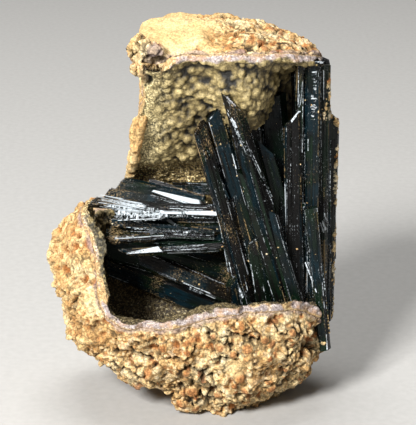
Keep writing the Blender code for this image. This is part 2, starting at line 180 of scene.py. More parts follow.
def thin_out(piece, weights, triangles):
    """Collapse the mesh to about that many triangles, where the weights allow it."""
    group = piece.vertex_groups.new(name="thin")
    for level in set(weights):
        chosen = [index for index, weight in enumerate(weights) if weight == level]
        group.add(chosen, level, "REPLACE")
    now = sum(len(face.vertices) - 2 for face in piece.data.polygons)
    collapse = piece.modifiers.new("collapse", "DECIMATE")
    collapse.ratio = min(1.0, triangles / now)
    collapse.vertex_group = "thin"
    apply_modifiers(piece)
    piece.vertex_groups.clear()
    print(piece.name, "went from", now, "to", len(piece.data.polygons), "triangles")


def tree_of(item):
    """A search tree of an object's faces, in the object's own millimetres."""
    points = [vert.co / MM for vert in item.data.vertices]
    return BVHTree.FromPolygons(points, [tuple(face.vertices) for face in item.data.polygons])


# %% [markdown]
# ## What the camera sees
# The rock's largest pebbles are easiest to place by where they show in the camera's
# picture, so the camera's numbers come first. It looks from in front and a little
# above. A pixel gives a line that leaves the camera, and where that line meets a
# solid is a point in millimetres, so each pebble sits on the rock from any side.

# %% The camera's numbers, and the point at a pixel
CAMERA_ELEVATION = math.radians(18.0)
CAMERA_DISTANCE = 0.45      # metres
VIEW_SPAN = 0.10625         # metres that the picture's height takes in
PICTURE_WIDTH, PICTURE_HEIGHT = 416, 425      # pixels
aim = Vector((0.00375, -0.00155, 0.0486))
direction = Vector((0.0, -math.cos(CAMERA_ELEVATION), math.sin(CAMERA_ELEVATION)))
picture_up = Vector((0.0, math.sin(CAMERA_ELEVATION), math.cos(CAMERA_ELEVATION)))
pixels_away = PICTURE_HEIGHT * CAMERA_DISTANCE / VIEW_SPAN
print("the picture is", round(pixels_away), "of its own pixels from the camera")


def seen_at(tree, across, down):
    """The point of a search tree's faces that shows at a pixel, to a tenth of a mm."""
    ray = picture_up * (PICTURE_HEIGHT / 2 - down) - direction * pixels_away
    ray.x += across - PICTURE_WIDTH / 2
    eye = (aim + direction * CAMERA_DISTANCE) / MM
    spot = tree.ray_cast(eye, ray.normalized())[0]
    return Vector([round(value, 1) for value in spot])


# %% [markdown]
# ## Helpers for relief
# Relief is a height for each point, found from its place in millimetres. A smooth
# step fades one thing in and another out. Voronoi cells are the grains: the
# distance to a cell's centre makes a round top, and the centre's own place gives
# each grain its own random number.


# %% Relief helpers
def ease(value, start, end):
    """0 before start, 1 after end, and a smooth rise between. End may be the smaller."""
    share = min(1.0, max(0.0, (value - start) / (end - start)))
    return share * share * (3.0 - 2.0 * share)


def cell_number(centre):
    """A random number from 0 to 1 that always belongs to the same cell."""
    number = math.sin(centre.dot(Vector((127.1, 311.7, 74.7)))) * 43758.5453
    return number - math.floor(number)


def grain(point, spacing, radius):
    """(height of a ball's cap from 0 to 1, that ball's random number from 0 to 1)."""
    distances, centres = noise.voronoi(point / spacing)
    reach = distances[0] * spacing / radius
    return math.sqrt(max(0.0, 1.0 - reach * reach)), cell_number(centres[0])


# The balls of a bunch, as shares of their spacing: the smallest radius, how much
# more the largest has, and how deep they sink.
SMALLEST, MORE, SUNK = 0.50, 0.35, 0.15


def bunch(point, spacing):
    """(height in mm, random number) of the highest of the four balls around a point.
    The balls overlap and differ in size, as grapes do."""
    distances, centres = noise.voronoi(point / spacing)
    highest, chosen = 0.0, 0.0
    for distance, centre in zip(distances, centres):
        number = cell_number(centre)
        radius = spacing * (SMALLEST + MORE * number)
        reach = distance * spacing
        if reach < radius:
            height = math.sqrt(radius * radius - reach * reach) - SUNK * spacing
            if height > highest:
                highest, chosen = height, number
    return highest, chosen


def set_attribute(mesh, name, values):
    """Store one number per point, for the material to read."""
    layer = mesh.attributes.new(name, "FLOAT", "POINT")
    layer.data.foreach_set("value", np.asarray(values, dtype=np.float32))


def relieve(piece, relief, names):
    """Move each point along its normal by relief(point, normal), which also returns
    one number for each named attribute."""
    mesh = piece.data
    count = len(mesh.vertices)
    places = np.empty(count * 3)
    mesh.vertices.foreach_get("co", places)
    normals = np.empty(count * 3)
    mesh.vertex_normals.foreach_get("vector", normals)
    places = places.reshape(-1, 3) / MM
    normals = normals.reshape(-1, 3)
    heights = np.empty(count)
    values = np.empty((count, len(names)))
    for index in range(count):
        heights[index], *values[index] = relief(Vector(places[index]), Vector(normals[index]))
    moved = (places + normals * heights[:, None]) * MM
    moved = np.clip(moved, np.array(cad_low), np.array(cad_high))
    mesh.vertices.foreach_set("co", moved.astype(np.float32).ravel())
    for column, name in enumerate(names):
        set_attribute(mesh, name, values[:, column])
    mesh.update()
    print(piece.name, "relief from", round(heights.min(), 2), "to", round(heights.max(), 2), "mm")


def wear(piece, material):
    """Give a piece one material, in place of what it came with."""
    piece.data.materials.clear()
    piece.data.materials.append(material)


# %% [markdown]
# ## The rock
# The nodule is broken open in front. That leaves a hood above, a lobe at the lower
# left, and a thin wall between them. It is limonite, a rusty iron ore, and this one
# is oolitic: it is packed with round grains about 1.2 mm across, some of them rich
# brown, and some fallen out to leave sockets. A scatter of separate balls would
# need many more faces, so the grains are raised from the rock's own surface, where
# each gets its own colour number. Forms that stand further out are joined on first,
# as squashed balls: a cluster of knobs under the left end of the hood, a bulge half
# way up the left wall, and the crumbly ridge along its broken edge.

# %% Rock: the fine grid
ROCK_GRID = 0.36      # mm
ROCK_TRIANGLES = 195000
KNOBS = (      # centre and radii in mm
    ((-12.2, -12.4, 94.6), (2.6, 2.2, 1.7)),
    ((-13.9, -12.9, 93.0), (2.0, 1.8, 0.9)),
    ((-8.4, -14.4, 93.0), (2.3, 1.9, 1.6)),
    ((-12.6, -13.4, 91.4), (1.5, 1.5, 1.2)),
    ((-12.8, -14.4, 88.4), (2.2, 1.9, 2.2)),
)
BULGE = ((-13.4, -5.6, 70.6), (2.0, 2.4, 3.8))
WALL_EDGE = (
    (-12.0, -8.4, 74.4), (-12.8, -7.0, 70.8), (-13.8, -5.2, 66.8), (-14.7, -2.6, 63.2),
    (-15.4, 1.0, 59.4), (-15.8, 5.0, 55.0),
)


def ridge(points, spacing, radius):
    """Centres and radii of uneven lumps that overlap along a line of points."""
    lumps = []
    for first, second in zip(points, points[1:]):
        start, end = Vector(first), Vector(second)
        count = round((end - start).length / spacing)
        for index in range(count):
            centre = start.lerp(end, index / count)
            size = radius * (1.0 + 0.4 * noise.noise(centre / 1.5))
            lumps.append((centre, (size, 1.2 * size, 1.3 * size)))
    return tuple(lumps)


rock_tree = tree_of(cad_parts["limonite_matrix"])
crust_tree = tree_of(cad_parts["botryoidal_crust"])
rock_lumps = (*KNOBS, BULGE, *ridge(WALL_EDGE, 0.9, 1.35))
rock = fine_copy("limonite_matrix", "limonite_rock", ROCK_GRID, 3, rock_lumps)


def rock_thinning(vert):
    """1 behind the crust, a half on the back and underside, 0 where it is seen."""
    point = vert.co / MM
    nearest = crust_tree.find_nearest(point, 1.0)[0]
    if nearest and (nearest - point).dot(vert.normal) > 0.15:
        return 1.0
    return 0.5 if vert.normal.y > 0.25 or vert.normal.z < -0.7 else 0.0


thin_out(rock, [rock_thinning(vert) for vert in rock.data.vertices], ROCK_TRIANGLES)

# %% [markdown]
# ## The rock's relief
# The base is coarse, with open gaps between its grains. The hood's left end is
# nearly smooth sand, and the left side and the lower left lobe lie between the two.
# First come numbers for how far a point is in each of these places. They then scale
# the grains, sockets, seams and swells. Earth fills the gaps in some places, one
# spot on the base is rubbed smooth, and two dozen large pebbles stand out enough to
# be set one by one.

# %% Rock: sizes in mm
OOLITE, OOLITE_RISE = 1.15, 0.45      # spacing, and the share of it that stands out
PEBBLE, PEBBLE_RISE = 2.9, 1.45       # spacing, and height
FILLING = 0.52                        # how high earth fills the gaps, as a share of a grain
SOCKETS = ((3.4, 1.3), (2.0, 0.8))    # spacing and radius
SOCKET_DEPTH = 1.1                    # for each mm of the socket's own cap
GAP_DEPTH = 1.9
# The pits are cut into rock and lining, and their colour is painted dark as shade.
PITS = (((-9.0, -14.8, 90.2), 3.1), ((-11.4, -13.6, 85.2), 2.4))      # centre and radius
WORN_SPOT, WORN_RADIUS = Vector((10.6, -22.6, 15.6)), 3.2             # rubbed smooth
VIOLET_KNOB = Vector((-8.6, -15.6, 92.6))                             # it has a violet skin
STONE_RISE, STONE_TINT = 0.65, 0.95   # the share of its radius that stands out; rich brown
# Where it lies against the crust, the rock swells to close the gap between them:
# its height in mm, and the six numbers that the material reads.
AGAINST_CRUST = (0.12, 0.5, 0.5, 0.0, 0.0, 1.0, 0.0)

# %% Rock: the largest pebbles
STONES = (      # pixel across, pixel down, radius in mm
    (192, 391, 1.7), (247, 349, 1.6), (265, 340, 1.2), (233, 355, 1.1), (220, 348, 1.2),
    (192, 340, 0.9), (213, 336, 0.9), (186, 373, 1.0), (195, 407, 1.3), (181, 403, 1.3),
    (149, 372, 1.3), (163, 348, 1.2), (292, 333, 1.1), (240, 378, 1.4), (271, 388, 1.4),
    (218, 394, 1.2), (270, 31, 1.6), (242, 35, 1.0), (250, 43, 1.3), (228, 50, 1.1),
    (242, 52, 1.0), (280, 36, 1.0), (264, 50, 1.2), (292, 43, 1.1),
)
stones = [(seen_at(rock_tree, across, down), radius) for across, down, radius in STONES]
print(len(stones), "large pebbles, up to", 2 * max(radius for _, radius in stones), "mm across")


# %% Rock: how far a point is in each place
def pit(point):
    """1 in the middle of a pit under the knobs, 0 outside."""
    return max(
        ease((point - Vector(centre)).length, radius, 0.7 * radius) for centre, radius in PITS
    )


def wall_at(point):
    """1 on the broken left wall, where the crust's edge leaves no violet skin."""
    up = ease(point.z, 53.0, 54.0) * (1.0 - ease(point.z, 76.0, 78.0))
    return up * (1.0 - ease(point.x, -11.0, -9.0))


def knob_at(point):
    """1 on the knobs under the hood's left end."""
    up = ease(point.z, 85.0, 86.5) * (1.0 - ease(point.x, -8.0, -6.0))
    return up * (1.0 - ease(point.y, -12.0, -10.5))


def rim_at(point, distance, wall, knob):
    """(violet skin, calm) close to the crust, which is this far away, if it is near."""
    rim, calm = 0.0, 0.0
    if distance is not None:
        ragged = distance + 1.2 * noise.noise(point / 2.4)
        rim = (1.0 - ease(ragged, 0.3, 1.5)) * (1.0 - wall)
        calm = 1.0 - ease(ragged, 1.5, 4.5)
    rim *= 1.0 - 0.8 * knob
    rim = max(rim, 1.3 - 1.3 * ease((point - VIOLET_KNOB).length, 1.0, 2.8))
    return min(1.0, rim), calm


def sand_at(point, knob):
    """(sand, slab, lobe): how sandy the rock is, and how far on the hood and the lobe."""
    wobble = 3.0 * noise.noise(point / 9.0)
    slab = ease(point.z, 82.0, 88.0) * (1.0 - ease(point.x + 1.6 * wobble, -5.0, 12.0))
    side = ease(point.z, 50.0, 58.0) * (1.0 - ease(point.x, -8.0, 0.0))
    lobe = (1.0 - ease(point.x, -24.0, -14.0)) * ease(point.z, 14.0, 24.0)
    worn = 1.0 - ease((point - WORN_SPOT).length, 0.6 * WORN_RADIUS, WORN_RADIUS)
    return max(slab, 0.5 * side, 0.35 * lobe, 0.7 * worn) * (1.0 - 0.8 * knob), slab, lobe


# %% Rock: grains and sockets
def grains_at(point, rough, low, sand):
    """(height, colour number, share of the grain's own height) of the oolites, and
    of the pebbles that stand higher than they do."""
    ball, tint = bunch(point, OOLITE)
    filled = ease(noise.noise(point / 4.5 + Vector((9.0, 1.0, 4.0))), -0.25, 0.30)
    top = max(ball / (0.6 * OOLITE), FILLING * filled)
    height = OOLITE_RISE * OOLITE * rough * top
    big_top, big_tint = grain(point + Vector((50.0, 0.0, 0.0)), PEBBLE, 0.40 * PEBBLE)
    if big_tint > 0.78 - 0.25 * low + 0.15 * sand:
        if PEBBLE_RISE * big_top * rough > height:
            height = PEBBLE_RISE * big_top * rough
            top = big_top
            tint = 0.45 + 0.55 * math.fmod(big_tint * 17.0, 1.0)
    return height, tint, top


def socket_at(point, slab, lobe):
    """Depth in mm of a socket that a lost grain has left."""
    hollow = 0.0
    for spacing, radius in SOCKETS:
        dip, dip_tint = grain(point + Vector((0.0, 25.0 * spacing, 0.0)), spacing, radius)
        if dip_tint > 0.74 + 0.22 * slab - 0.40 * lobe:
            hollow = max(hollow, (dip - 0.15) * radius)
    return hollow


def gap_at(point, rough, low, knob):
    """1 in an open seam, a crack between the knobs, or a pit. The rock is cut in there, and its
    colour is painted dark as shade.
    """
    seam = abs(noise.noise(point / 6.0 + Vector((3.0, 5.0, 2.0))))
    seam += 0.35 * abs(noise.noise(point / 1.6))
    gap_and_shade = (1.0 - ease(seam, 0.04, 0.20)) * (0.45 + 0.55 * low) * rough
    crack = 1.0 - ease(abs(noise.noise(point / 2.2)), 0.02, 0.16)
    return max(gap_and_shade, 0.8 * knob * crack, pit(point))


# %% Rock: its relief
def rock_relief(point, normal):
    """Height in mm, then the numbers that colour the rock."""
    wall = wall_at(point)
    nearest, _, _, distance = crust_tree.find_nearest(point, 5.0)
    touching = nearest and (nearest - point).dot(normal) > 0.15 and distance < 0.9
    if touching and wall < 0.5:
        return AGAINST_CRUST
    knob = knob_at(point)
    rim, calm = rim_at(point, distance, wall, knob)
    sand, slab, lobe = sand_at(point, knob)
    rough = (1.0 - 0.8 * sand) * (1.0 - 0.6 * calm)
    low = (1.0 - ease(point.z, 26.0, 40.0)) * (1.0 - 0.5 * calm)

    height, tint, top = grains_at(point, rough, low, sand)
    hollow = socket_at(point, slab, lobe)
    gap_and_shade = gap_at(point, rough, low, knob)
    swell = 1.2 * noise.noise(point / 3.8) + 0.25 * noise.noise(point / 1.5)
    fine = 0.10 * noise.noise(point / 0.6)
    height += swell * (0.30 + 0.70 * rough) + fine
    height -= SOCKET_DEPTH * hollow + GAP_DEPTH * gap_and_shade + 0.15
    for centre, radius in stones:
        away = (point - centre).length / radius
        # A dark ring around each pebble is painted shade: it colours, and cuts nothing.
        gap_and_shade = max(gap_and_shade, 0.6 - 0.6 * ease(abs(away - 1.15), 0.0, 0.25))
        if away < 1.0:
            top = math.sqrt(1.0 - away * away)
            height, gap_and_shade, tint = max(height, STONE_RISE * radius * top), 0.0, STONE_TINT
    height += 0.35 * rim - 0.5 * height * rim
    return height, tint, top, min(1.0, 1.2 * hollow), gap_and_shade, rim, sand


relieve(rock, rock_relief, ("tint", "top", "hollow", "gap_and_shade", "rim", "sand"))

# %% [markdown]
# ## Limonite
# Limonite is earthy: dull, with a roughness near 0.9 as dry earth has, ochre where
# it is powdery, and rust brown in its grains. The material starts from ochre and
# tints each grain by its own number. It paints shade into the low ground between
# the grains, and paints open seams, cracks and pits near black as shade. Close to
# the lining a thin skin turns grey-violet. The bump is the sand itself, drawn as
# cells 0.75 mm and specks 0.45 mm across, which is coarser than real sand, so that
# it shows. The same cells darken the colour towards their edges as painted shade.

# %% Limonite: ochre, and the grains on it
limonite, tree, shader = new_material("limonite")
place = add_node(tree, "ShaderNodeTexCoord").outputs["Object"]
number = {
    name: add_node(tree, "ShaderNodeAttribute", attribute_name=name).outputs["Fac"]
    for name in ("tint", "top", "hollow", "gap_and_shade", "rim", "sand")
}
patches = add_node(tree, "ShaderNodeTexNoise", {
    "Vector": place, "Scale": per_metre(9.0), "Detail": 6.0, "Roughness": 0.62})
ochre = fill_ramp(add_node(tree, "ShaderNodeValToRGB", {"Fac": patches.outputs["Fac"]}), (
    (0.32, "#A4753F"), (0.44, "#C99D62"), (0.56, "#E4C68F"), (0.70, "#F8E8BE")))
grains = fill_ramp(add_node(tree, "ShaderNodeValToRGB", {"Fac": number["tint"]}), (
    (0.20, "#FBEDCC"), (0.60, "#EDD19C"), (0.85, "#DAAF74"), (0.94, "#B67A48"), (1.0, "#98522E")))
showing = add_node(tree, "ShaderNodeMapRange", {
    "Value": number["top"], "From Min": 0.30, "From Max": 0.80, "To Max": 0.80})
grainy = add_node(tree, "ShaderNodeMath", {
    0: showing.outputs["Result"], 1: number["sand"]}, operation="SUBTRACT", use_clamp=True)
powder = add_node(tree, "ShaderNodeMath", {0: number["sand"], 1: 0.7}, operation="MULTIPLY")
earth = add_node(tree, MIX, {
    FACTOR: powder.outputs["Value"], FIRST: ochre, SECOND: linear("#CCAF7C")},
    data_type="RGBA")
body = add_node(tree, MIX, {
    FACTOR: grainy.outputs["Value"], FIRST: earth.outputs[MIXED], SECOND: grains},
    data_type="RGBA")

# %% Limonite: painted shade between grains and in gaps, rust in sockets, and the violet skin
# The low ground between grains is painted dark as shade, less so where the rock is sandy.
between = add_node(tree, "ShaderNodeMapRange", {
    "Value": number["top"], "From Min": 0.0, "From Max": 0.45, "To Min": 0.95, "To Max": 0.0})
painted_grain_shade = add_node(tree, "ShaderNodeMath", {
    0: between.outputs["Result"], 1: number["sand"]}, operation="SUBTRACT", use_clamp=True)
grain_shaded = add_node(tree, MIX, {
    FACTOR: painted_grain_shade.outputs["Value"], FIRST: body.outputs[MIXED],
    SECOND: linear("#38291A")}, data_type="RGBA")
rusted = add_node(tree, MIX, {
    FACTOR: number["hollow"], FIRST: grain_shaded.outputs[MIXED],
    SECOND: linear("#9A6334")}, data_type="RGBA")
# Open seams, cracks between the knobs, pits and the rings round pebbles are painted near-black as
# shade.
crack_shaded = add_node(tree, MIX, {
    FACTOR: number["gap_and_shade"], FIRST: rusted.outputs[MIXED],
    SECOND: linear("#241A10")}, data_type="RGBA")
skin = add_node(tree, "ShaderNodeMath", {0: number["rim"], 1: 0.7}, operation="MULTIPLY")
skinned = add_node(tree, MIX, {
    FACTOR: skin.outputs["Value"], FIRST: crack_shaded.outputs[MIXED],
    SECOND: linear("#A08C86")}, data_type="RGBA")

# %% Limonite: sand, with random specks and painted shade at the edges of its cells
speckle = add_node(tree, "ShaderNodeTexNoise", {
    "Vector": place, "Scale": per_metre(0.45), "Detail": 3.0, "Roughness": 0.7})
cells = add_node(tree, "ShaderNodeTexVoronoi", {"Vector": place, "Scale": per_metre(0.75)})
apart = add_node(tree, "ShaderNodeMapRange", {
    "Value": number["sand"], "To Min": -0.38, "To Max": -0.18})
# Random specks vary the tone, and the colour darkens towards each cell's edge as painted shade
# between sand grains.
speck_and_cell_shade = add_node(tree, "ShaderNodeMath", {
    0: cells.outputs["Distance"], 1: apart.outputs["Result"], 2: speckle.outputs["Fac"]},
    operation="MULTIPLY_ADD")
shade = add_node(tree, "ShaderNodeMapRange", {
    "Value": speck_and_cell_shade.outputs["Value"], "From Min": 0.16, "From Max": 0.58,
    "To Min": 0.40, "To Max": 1.45})
grit = add_node(tree, "ShaderNodeHueSaturation", {
    "Color": skinned.outputs[MIXED], "Value": shade.outputs["Result"]})
sand_bump = add_node(tree, "ShaderNodeBump", {
    "Height": speck_and_cell_shade.outputs["Value"], "Strength": 0.9, "Distance": 0.32 * MM})
tree.links.new(grit.outputs["Color"], shader.inputs["Base Color"])
tree.links.new(sand_bump.outputs["Normal"], shader.inputs["Normal"])
shader.inputs["Roughness"].default_value = 0.92
shader.inputs["Specular IOR Level"].default_value = 0.25
print(limonite.name, "has", len(tree.nodes), "nodes")

# %% Rock: finish the piece
wear(rock, limonite)
rock.data.shade_smooth()
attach(rock, "root")
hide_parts("limonite_matrix")

# %% [markdown]
# ## The lining
# The hollow is lined by a crust 2 mm thick that grew in rounded lumps, which is
# called botryoidal, after a bunch of grapes. They are raised from its surface in
# the same way as the rock's grains, on the side that faces away from the rock.
# Where the nodule broke, the crust shows its cut edge, a grey-violet band, and that
# stays nearly flat. Which is which comes from one question: does the surface face
# away from the rock?

# %% Lining: the fine grid
LINING_GRID = 0.34      # mm
LINING_TRIANGLES = 190000
lining = fine_copy("botryoidal_crust", "botryoidal_lining", LINING_GRID, 3)


def turned_away(point, normal):
    """(how far a surface looks away from the rock, from -1 to 1; its distance in mm)."""
    nearest, _, _, distance = rock_tree.find_nearest(point)
    return (point - nearest).dot(normal) / max(distance, 0.01), distance


def lining_thinning(vert):
    """1 on the side that touches the rock, 0 where it is seen."""
    away, distance = turned_away(vert.co / MM, vert.normal)
    return 1.0 if away < -0.6 and distance < 0.7 else 0.0


thin_out(lining, [lining_thinning(vert) for vert in lining.data.vertices], LINING_TRIANGLES)

# %% [markdown]
# ## The lining's relief
# The inner side has large lumps with small beads on them. Low on the wall they give
# way to a bed of tiny crystals, and at the far left the lumps shrink to a mottled
# crust. The lower left lobe has its own cluster of fine beads. Between some lumps a
# filling hides the deepest grooves, as it does in the rock.

# %% Lining: sizes in mm
LUMP, BEAD = 1.65, 0.95      # spacing
LUMP_FLOOR = 0.30            # height of the filling, as a share of the spacing
PIT_DEPTH = 1.6
# Where it lies against the rock, the lining swells to close the gap between them:
# its height in mm, and the five numbers that the material reads.
AGAINST_ROCK = (0.34, 0.0, 0.5, 0.5, 0.0, 0.0)


# %% Lining: how far a point is in each place
def inside_at(point, away, distance, wobble):
    """(inner side, lobe): 1 on the inner side of the crust, and on the lower left lobe."""
    ragged = 0.5 * (distance - 1.3) + 0.5 * noise.noise(point / 1.6)
    inner = ease(away + ragged, 0.35, 0.65)
    lobe = (1.0 - ease(point.x, -18.5, -15.0)) * (1.0 - ease(point.z + wobble, 49.0, 53.0))
    lobe *= ease(point.z + 0.5 * wobble, 35.0, 38.0) * ease(distance, 0.3, 0.9)
    return max(inner, lobe), lobe


def violet_at(point):
    """1 where the broken edge is grey-violet: under the hood, and along the low rim."""
    hood = ease(point.z, 66.0, 70.0) * ease(point.x, -6.0, -2.0)
    rim = (1.0 - ease(point.z, 48.0, 52.0)) * (0.8 - 0.4 * ease(point.z, 29.0, 32.0))
    return ease(max(hood, rim) + 0.7 * noise.noise(point / 2.5), 0.30, 0.55)


def lumps_at(point, crystalline, mottled, lobe):
    """(height in mm, share of a lump's own height) of the lumps and their beads."""
    lump, _ = bunch(point, LUMP)
    filled = ease(noise.noise(point / 3.2 + Vector((9.0, 1.0, 4.0))), -0.15, 0.25)
    lump = max(lump, LUMP_FLOOR * LUMP * filled)
    bead, _ = bunch(point + Vector((30.0, 0.0, 0.0)), BEAD)
    patch = noise.noise(point / 4.0 + Vector((2.0, 8.0, 4.0)))
    big = (1.0 - 0.85 * crystalline) * (1.0 - 0.6 * mottled)
    big *= 0.75 + 0.25 * ease(patch, -0.3, 0.2)
    big *= 1.0 - 0.5 * lobe
    small = 0.45 * (1.0 - 0.4 * big) + 0.7 * lobe
    height = big * lump + small * bead
    return height, height / (big * 0.70 * LUMP + 0.3 + 0.6 * lobe) - 0.25 * lobe


# %% Lining: its relief
def lining_relief(point, normal):
    """Height in mm, then the numbers that colour the lining."""
    away, distance = turned_away(point, normal)
    if away < -0.6 and distance < 0.9:
        return AGAINST_ROCK
    wobble = 2.5 * noise.noise(point / 5.0)
    inner, lobe = inside_at(point, away, distance, wobble)
    crystalline = 1.0 - ease(point.z + wobble, 57.0, 64.0)
    crystalline *= 1.0 - lobe
    mottled = 1.0 - ease(point.x + wobble, -11.0, -4.0)
    mottled *= (1.0 - crystalline) * (1.0 - 0.85 * lobe)
    lumps, top = lumps_at(point, crystalline, mottled, lobe)
    height = inner * (lumps - 0.85)
    height += 0.8 * inner * noise.noise(point / 5.0) + 0.16 * noise.noise(point / 0.7)
    height += 0.25 * crystalline * noise.noise(point / 0.9)
    height += (1.0 - inner) * (0.5 * noise.noise(point / 2.2) + 0.25 * noise.noise(point / 1.0))
    sunk = pit(point)
    # In a pit the lining is cut in, and its colour is pushed to the dark groove end of the ramp
    # as painted shade.
    inner = max(inner, sunk)
    height -= PIT_DEPTH * sunk
    mottled *= 1.0 - sunk
    return height, inner, top - 1.5 * sunk, crystalline, mottled, violet_at(point)


relieve(lining, lining_relief, ("inner", "top", "crystalline", "mottled", "violet"))

# %% [markdown]
# ## Botryoidal crust
# The lumps are satin, with a roughness of 0.4 to 0.75. Their colour follows their
# height: the tops are painted as olive-tan highlight and the grooves as dark
# grey-green painted shade. The lowest part of the wall is a bed of tiny crystals
# with painted glints, painted darker low in the cavity and paler higher up as
# painted light. The broken edge is grey-violet with pale sparks, so one material
# has three looks, and the stored numbers say where each of them shows.

# %% Botryoidal crust: lumps, smooth or mottled, with painted highlight on their tops and painted shade in their grooves
crust, tree, shader = new_material("botryoidal_crust")
place = add_node(tree, "ShaderNodeTexCoord").outputs["Object"]
number = {
    name: add_node(tree, "ShaderNodeAttribute", attribute_name=name).outputs["Fac"]
    for name in ("inner", "top", "crystalline", "mottled", "violet")
}
clouds = add_node(tree, "ShaderNodeTexNoise", {
    "Vector": place, "Scale": per_metre(8.0), "Detail": 4.0})
cloud = add_node(tree, "ShaderNodeMapRange", {
    "Value": clouds.outputs["Fac"], "From Min": 0.3, "From Max": 0.7,
    "To Min": -0.22, "To Max": 0.22})
level = add_node(tree, "ShaderNodeMath", {
    0: number["top"], 1: cloud.outputs["Result"]}, operation="ADD")
# Painted light: by each lump's height, the ramp runs from dark groove shade up to light tops.
lumps = fill_ramp(add_node(tree, "ShaderNodeValToRGB", {"Fac": level.outputs["Value"]}), (
    (0.04, "#17140C"), (0.22, "#564B31"), (0.50, "#8C7B50"), (0.92, "#C4B07C")))
specks = add_node(tree, "ShaderNodeTexNoise", {
    "Vector": place, "Scale": per_metre(0.5), "Detail": 2.0, "Roughness": 0.8})
streaked = fill_ramp(add_node(tree, "ShaderNodeValToRGB", {"Fac": specks.outputs["Fac"]}), (
    (0.36, "#56533F"), (0.46, "#94885F"), (0.54, "#C4B280"), (0.66, "#F0E2B4")))
half_mottled = add_node(tree, "ShaderNodeMath", {
    0: number["mottled"], 1: 0.65}, operation="MULTIPLY")
soft_lumps = add_node(tree, MIX, {
    FACTOR: half_mottled.outputs["Value"], FIRST: lumps, SECOND: streaked}, data_type="RGBA")
gritty = add_node(tree, "ShaderNodeMapRange", {
    "Value": specks.outputs["Fac"], "From Min": 0.35, "From Max": 0.65,
    "To Min": 0.55, "To Max": 1.35})
dusted_lumps = add_node(tree, "ShaderNodeHueSaturation", {
    "Color": soft_lumps.outputs[MIXED], "Value": gritty.outputs["Result"]})

# %% Botryoidal crust: the bed of tiny crystals, with painted glints, painted paler higher up where light reaches it and darker low down as painted shade
# The brightest specks of the bed are painted glints.
bed_painted_glints = fill_ramp(add_node(tree, "ShaderNodeValToRGB", {"Fac": specks.outputs["Fac"]}), (
    (0.38, "#2A2318"), (0.50, "#65563A"), (0.59, "#97814F"), (0.66, "#F2E4B8")))
height = add_node(tree, "ShaderNodeSeparateXYZ", {"Vector": place}).outputs["Z"]
sunlit = add_node(tree, "ShaderNodeMapRange", {
    "Value": height, "From Min": 35.0 * MM, "From Max": 48.0 * MM,
    "To Min": 0.65, "To Max": 2.4})
bed_painted_light = add_node(tree, "ShaderNodeHueSaturation", {
    "Color": bed_painted_glints, "Value": sunlit.outputs["Result"]})
wall = add_node(tree, MIX, {
    FACTOR: number["crystalline"], FIRST: dusted_lumps.outputs["Color"],
    SECOND: bed_painted_light.outputs["Color"]}, data_type="RGBA")

# %% Botryoidal crust: the broken edge, violet or earthy
violet = fill_ramp(add_node(tree, "ShaderNodeValToRGB", {"Fac": specks.outputs["Fac"]}), (
    (0.30, "#6A5C58"), (0.48, "#978A86"), (0.60, "#BAAEA8"), (0.70, "#F2EAE4")))
stain = add_node(tree, "ShaderNodeTexNoise", {
    "Vector": place, "Scale": per_metre(3.0), "Detail": 4.0, "Roughness": 0.6})
stain_reach = add_node(tree, "ShaderNodeMapRange", {
    "Value": stain.outputs["Fac"], "From Min": 0.47, "From Max": 0.62, "To Max": 0.55})
rusty = add_node(tree, MIX, {
    FACTOR: stain_reach.outputs["Result"], FIRST: violet, SECOND: linear("#BE9060")},
    data_type="RGBA")
earthy = fill_ramp(add_node(tree, "ShaderNodeValToRGB", {"Fac": specks.outputs["Fac"]}), (
    (0.34, "#7C6040"), (0.50, "#BC9864"), (0.66, "#E2CA98")))
broken = add_node(tree, MIX, {
    FACTOR: number["violet"], FIRST: earthy, SECOND: rusty.outputs[MIXED]}, data_type="RGBA")
whole = add_node(tree, MIX, {
    FACTOR: number["inner"], FIRST: broken.outputs[MIXED], SECOND: wall.outputs[MIXED]},
    data_type="RGBA")

# %% Botryoidal crust: its surface
gloss = add_node(tree, "ShaderNodeMapRange", {
    "Value": specks.outputs["Fac"], "From Min": 0.35, "From Max": 0.7,
    "To Min": 0.75, "To Max": 0.4})
pores = add_node(tree, "ShaderNodeBump", {
    "Height": specks.outputs["Fac"], "Strength": 0.8, "Distance": 0.3 * MM})
tree.links.new(whole.outputs[MIXED], shader.inputs["Base Color"])
tree.links.new(gloss.outputs["Result"], shader.inputs["Roughness"])
tree.links.new(pores.outputs["Normal"], shader.inputs["Normal"])
print(crust.name, "has", len(tree.nodes), "nodes")

# %% Lining: finish the piece
wear(lining, crust)
lining.data.shade_smooth()
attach(lining, "root")
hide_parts("botryoidal_crust")

# %% [markdown]
# ## The crystals
# Vivianite grows in long flat blades that split into thin layers, so each broad
# face carries growth steps: narrow strips that run the blade's length and end short
# of each other. Each flat face of the CAD crystals is found, its longest edge gives
# the blade's direction, and thin strips are laid on it along that way. A strip's
# top leans a little to one side, which makes some of them flash and leaves their
# neighbours black. Each face also gets two numbers for the material: its own random
# number, and how far it is bruised pale with painted glints, or holds dust.


# %% Crystals: a face's own axes
def face_axes(face):
    """(origin, across, along, normal) of a face, along its longest edge."""
    edge = max(face.edges, key=lambda item: item.calc_length())
    along = (edge.verts[1].co - edge.verts[0].co).normalized()
    if along.z + 0.3 * along.x < 0.0:
        along = -along
    normal = face.normal
    across = along.cross(normal).normalized()
    return face.calc_center_median(), across, along, normal


def span_along(outline, across):
    """Where the line at that place across a flat outline enters and leaves it."""
    cuts = []
    for first, second in zip(outline, outline[1:] + outline[:1]):
        if (first[0] - across) * (second[0] - across) < 0.0:
            share = (across - first[0]) / (second[0] - first[0])
            cuts.append(first[1] + share * (second[1] - first[1]))
    cuts.sort()
    if len(cuts) < 2:
        return None
    return max(zip(cuts[::2], cuts[1::2]), key=lambda pair: pair[1] - pair[0])


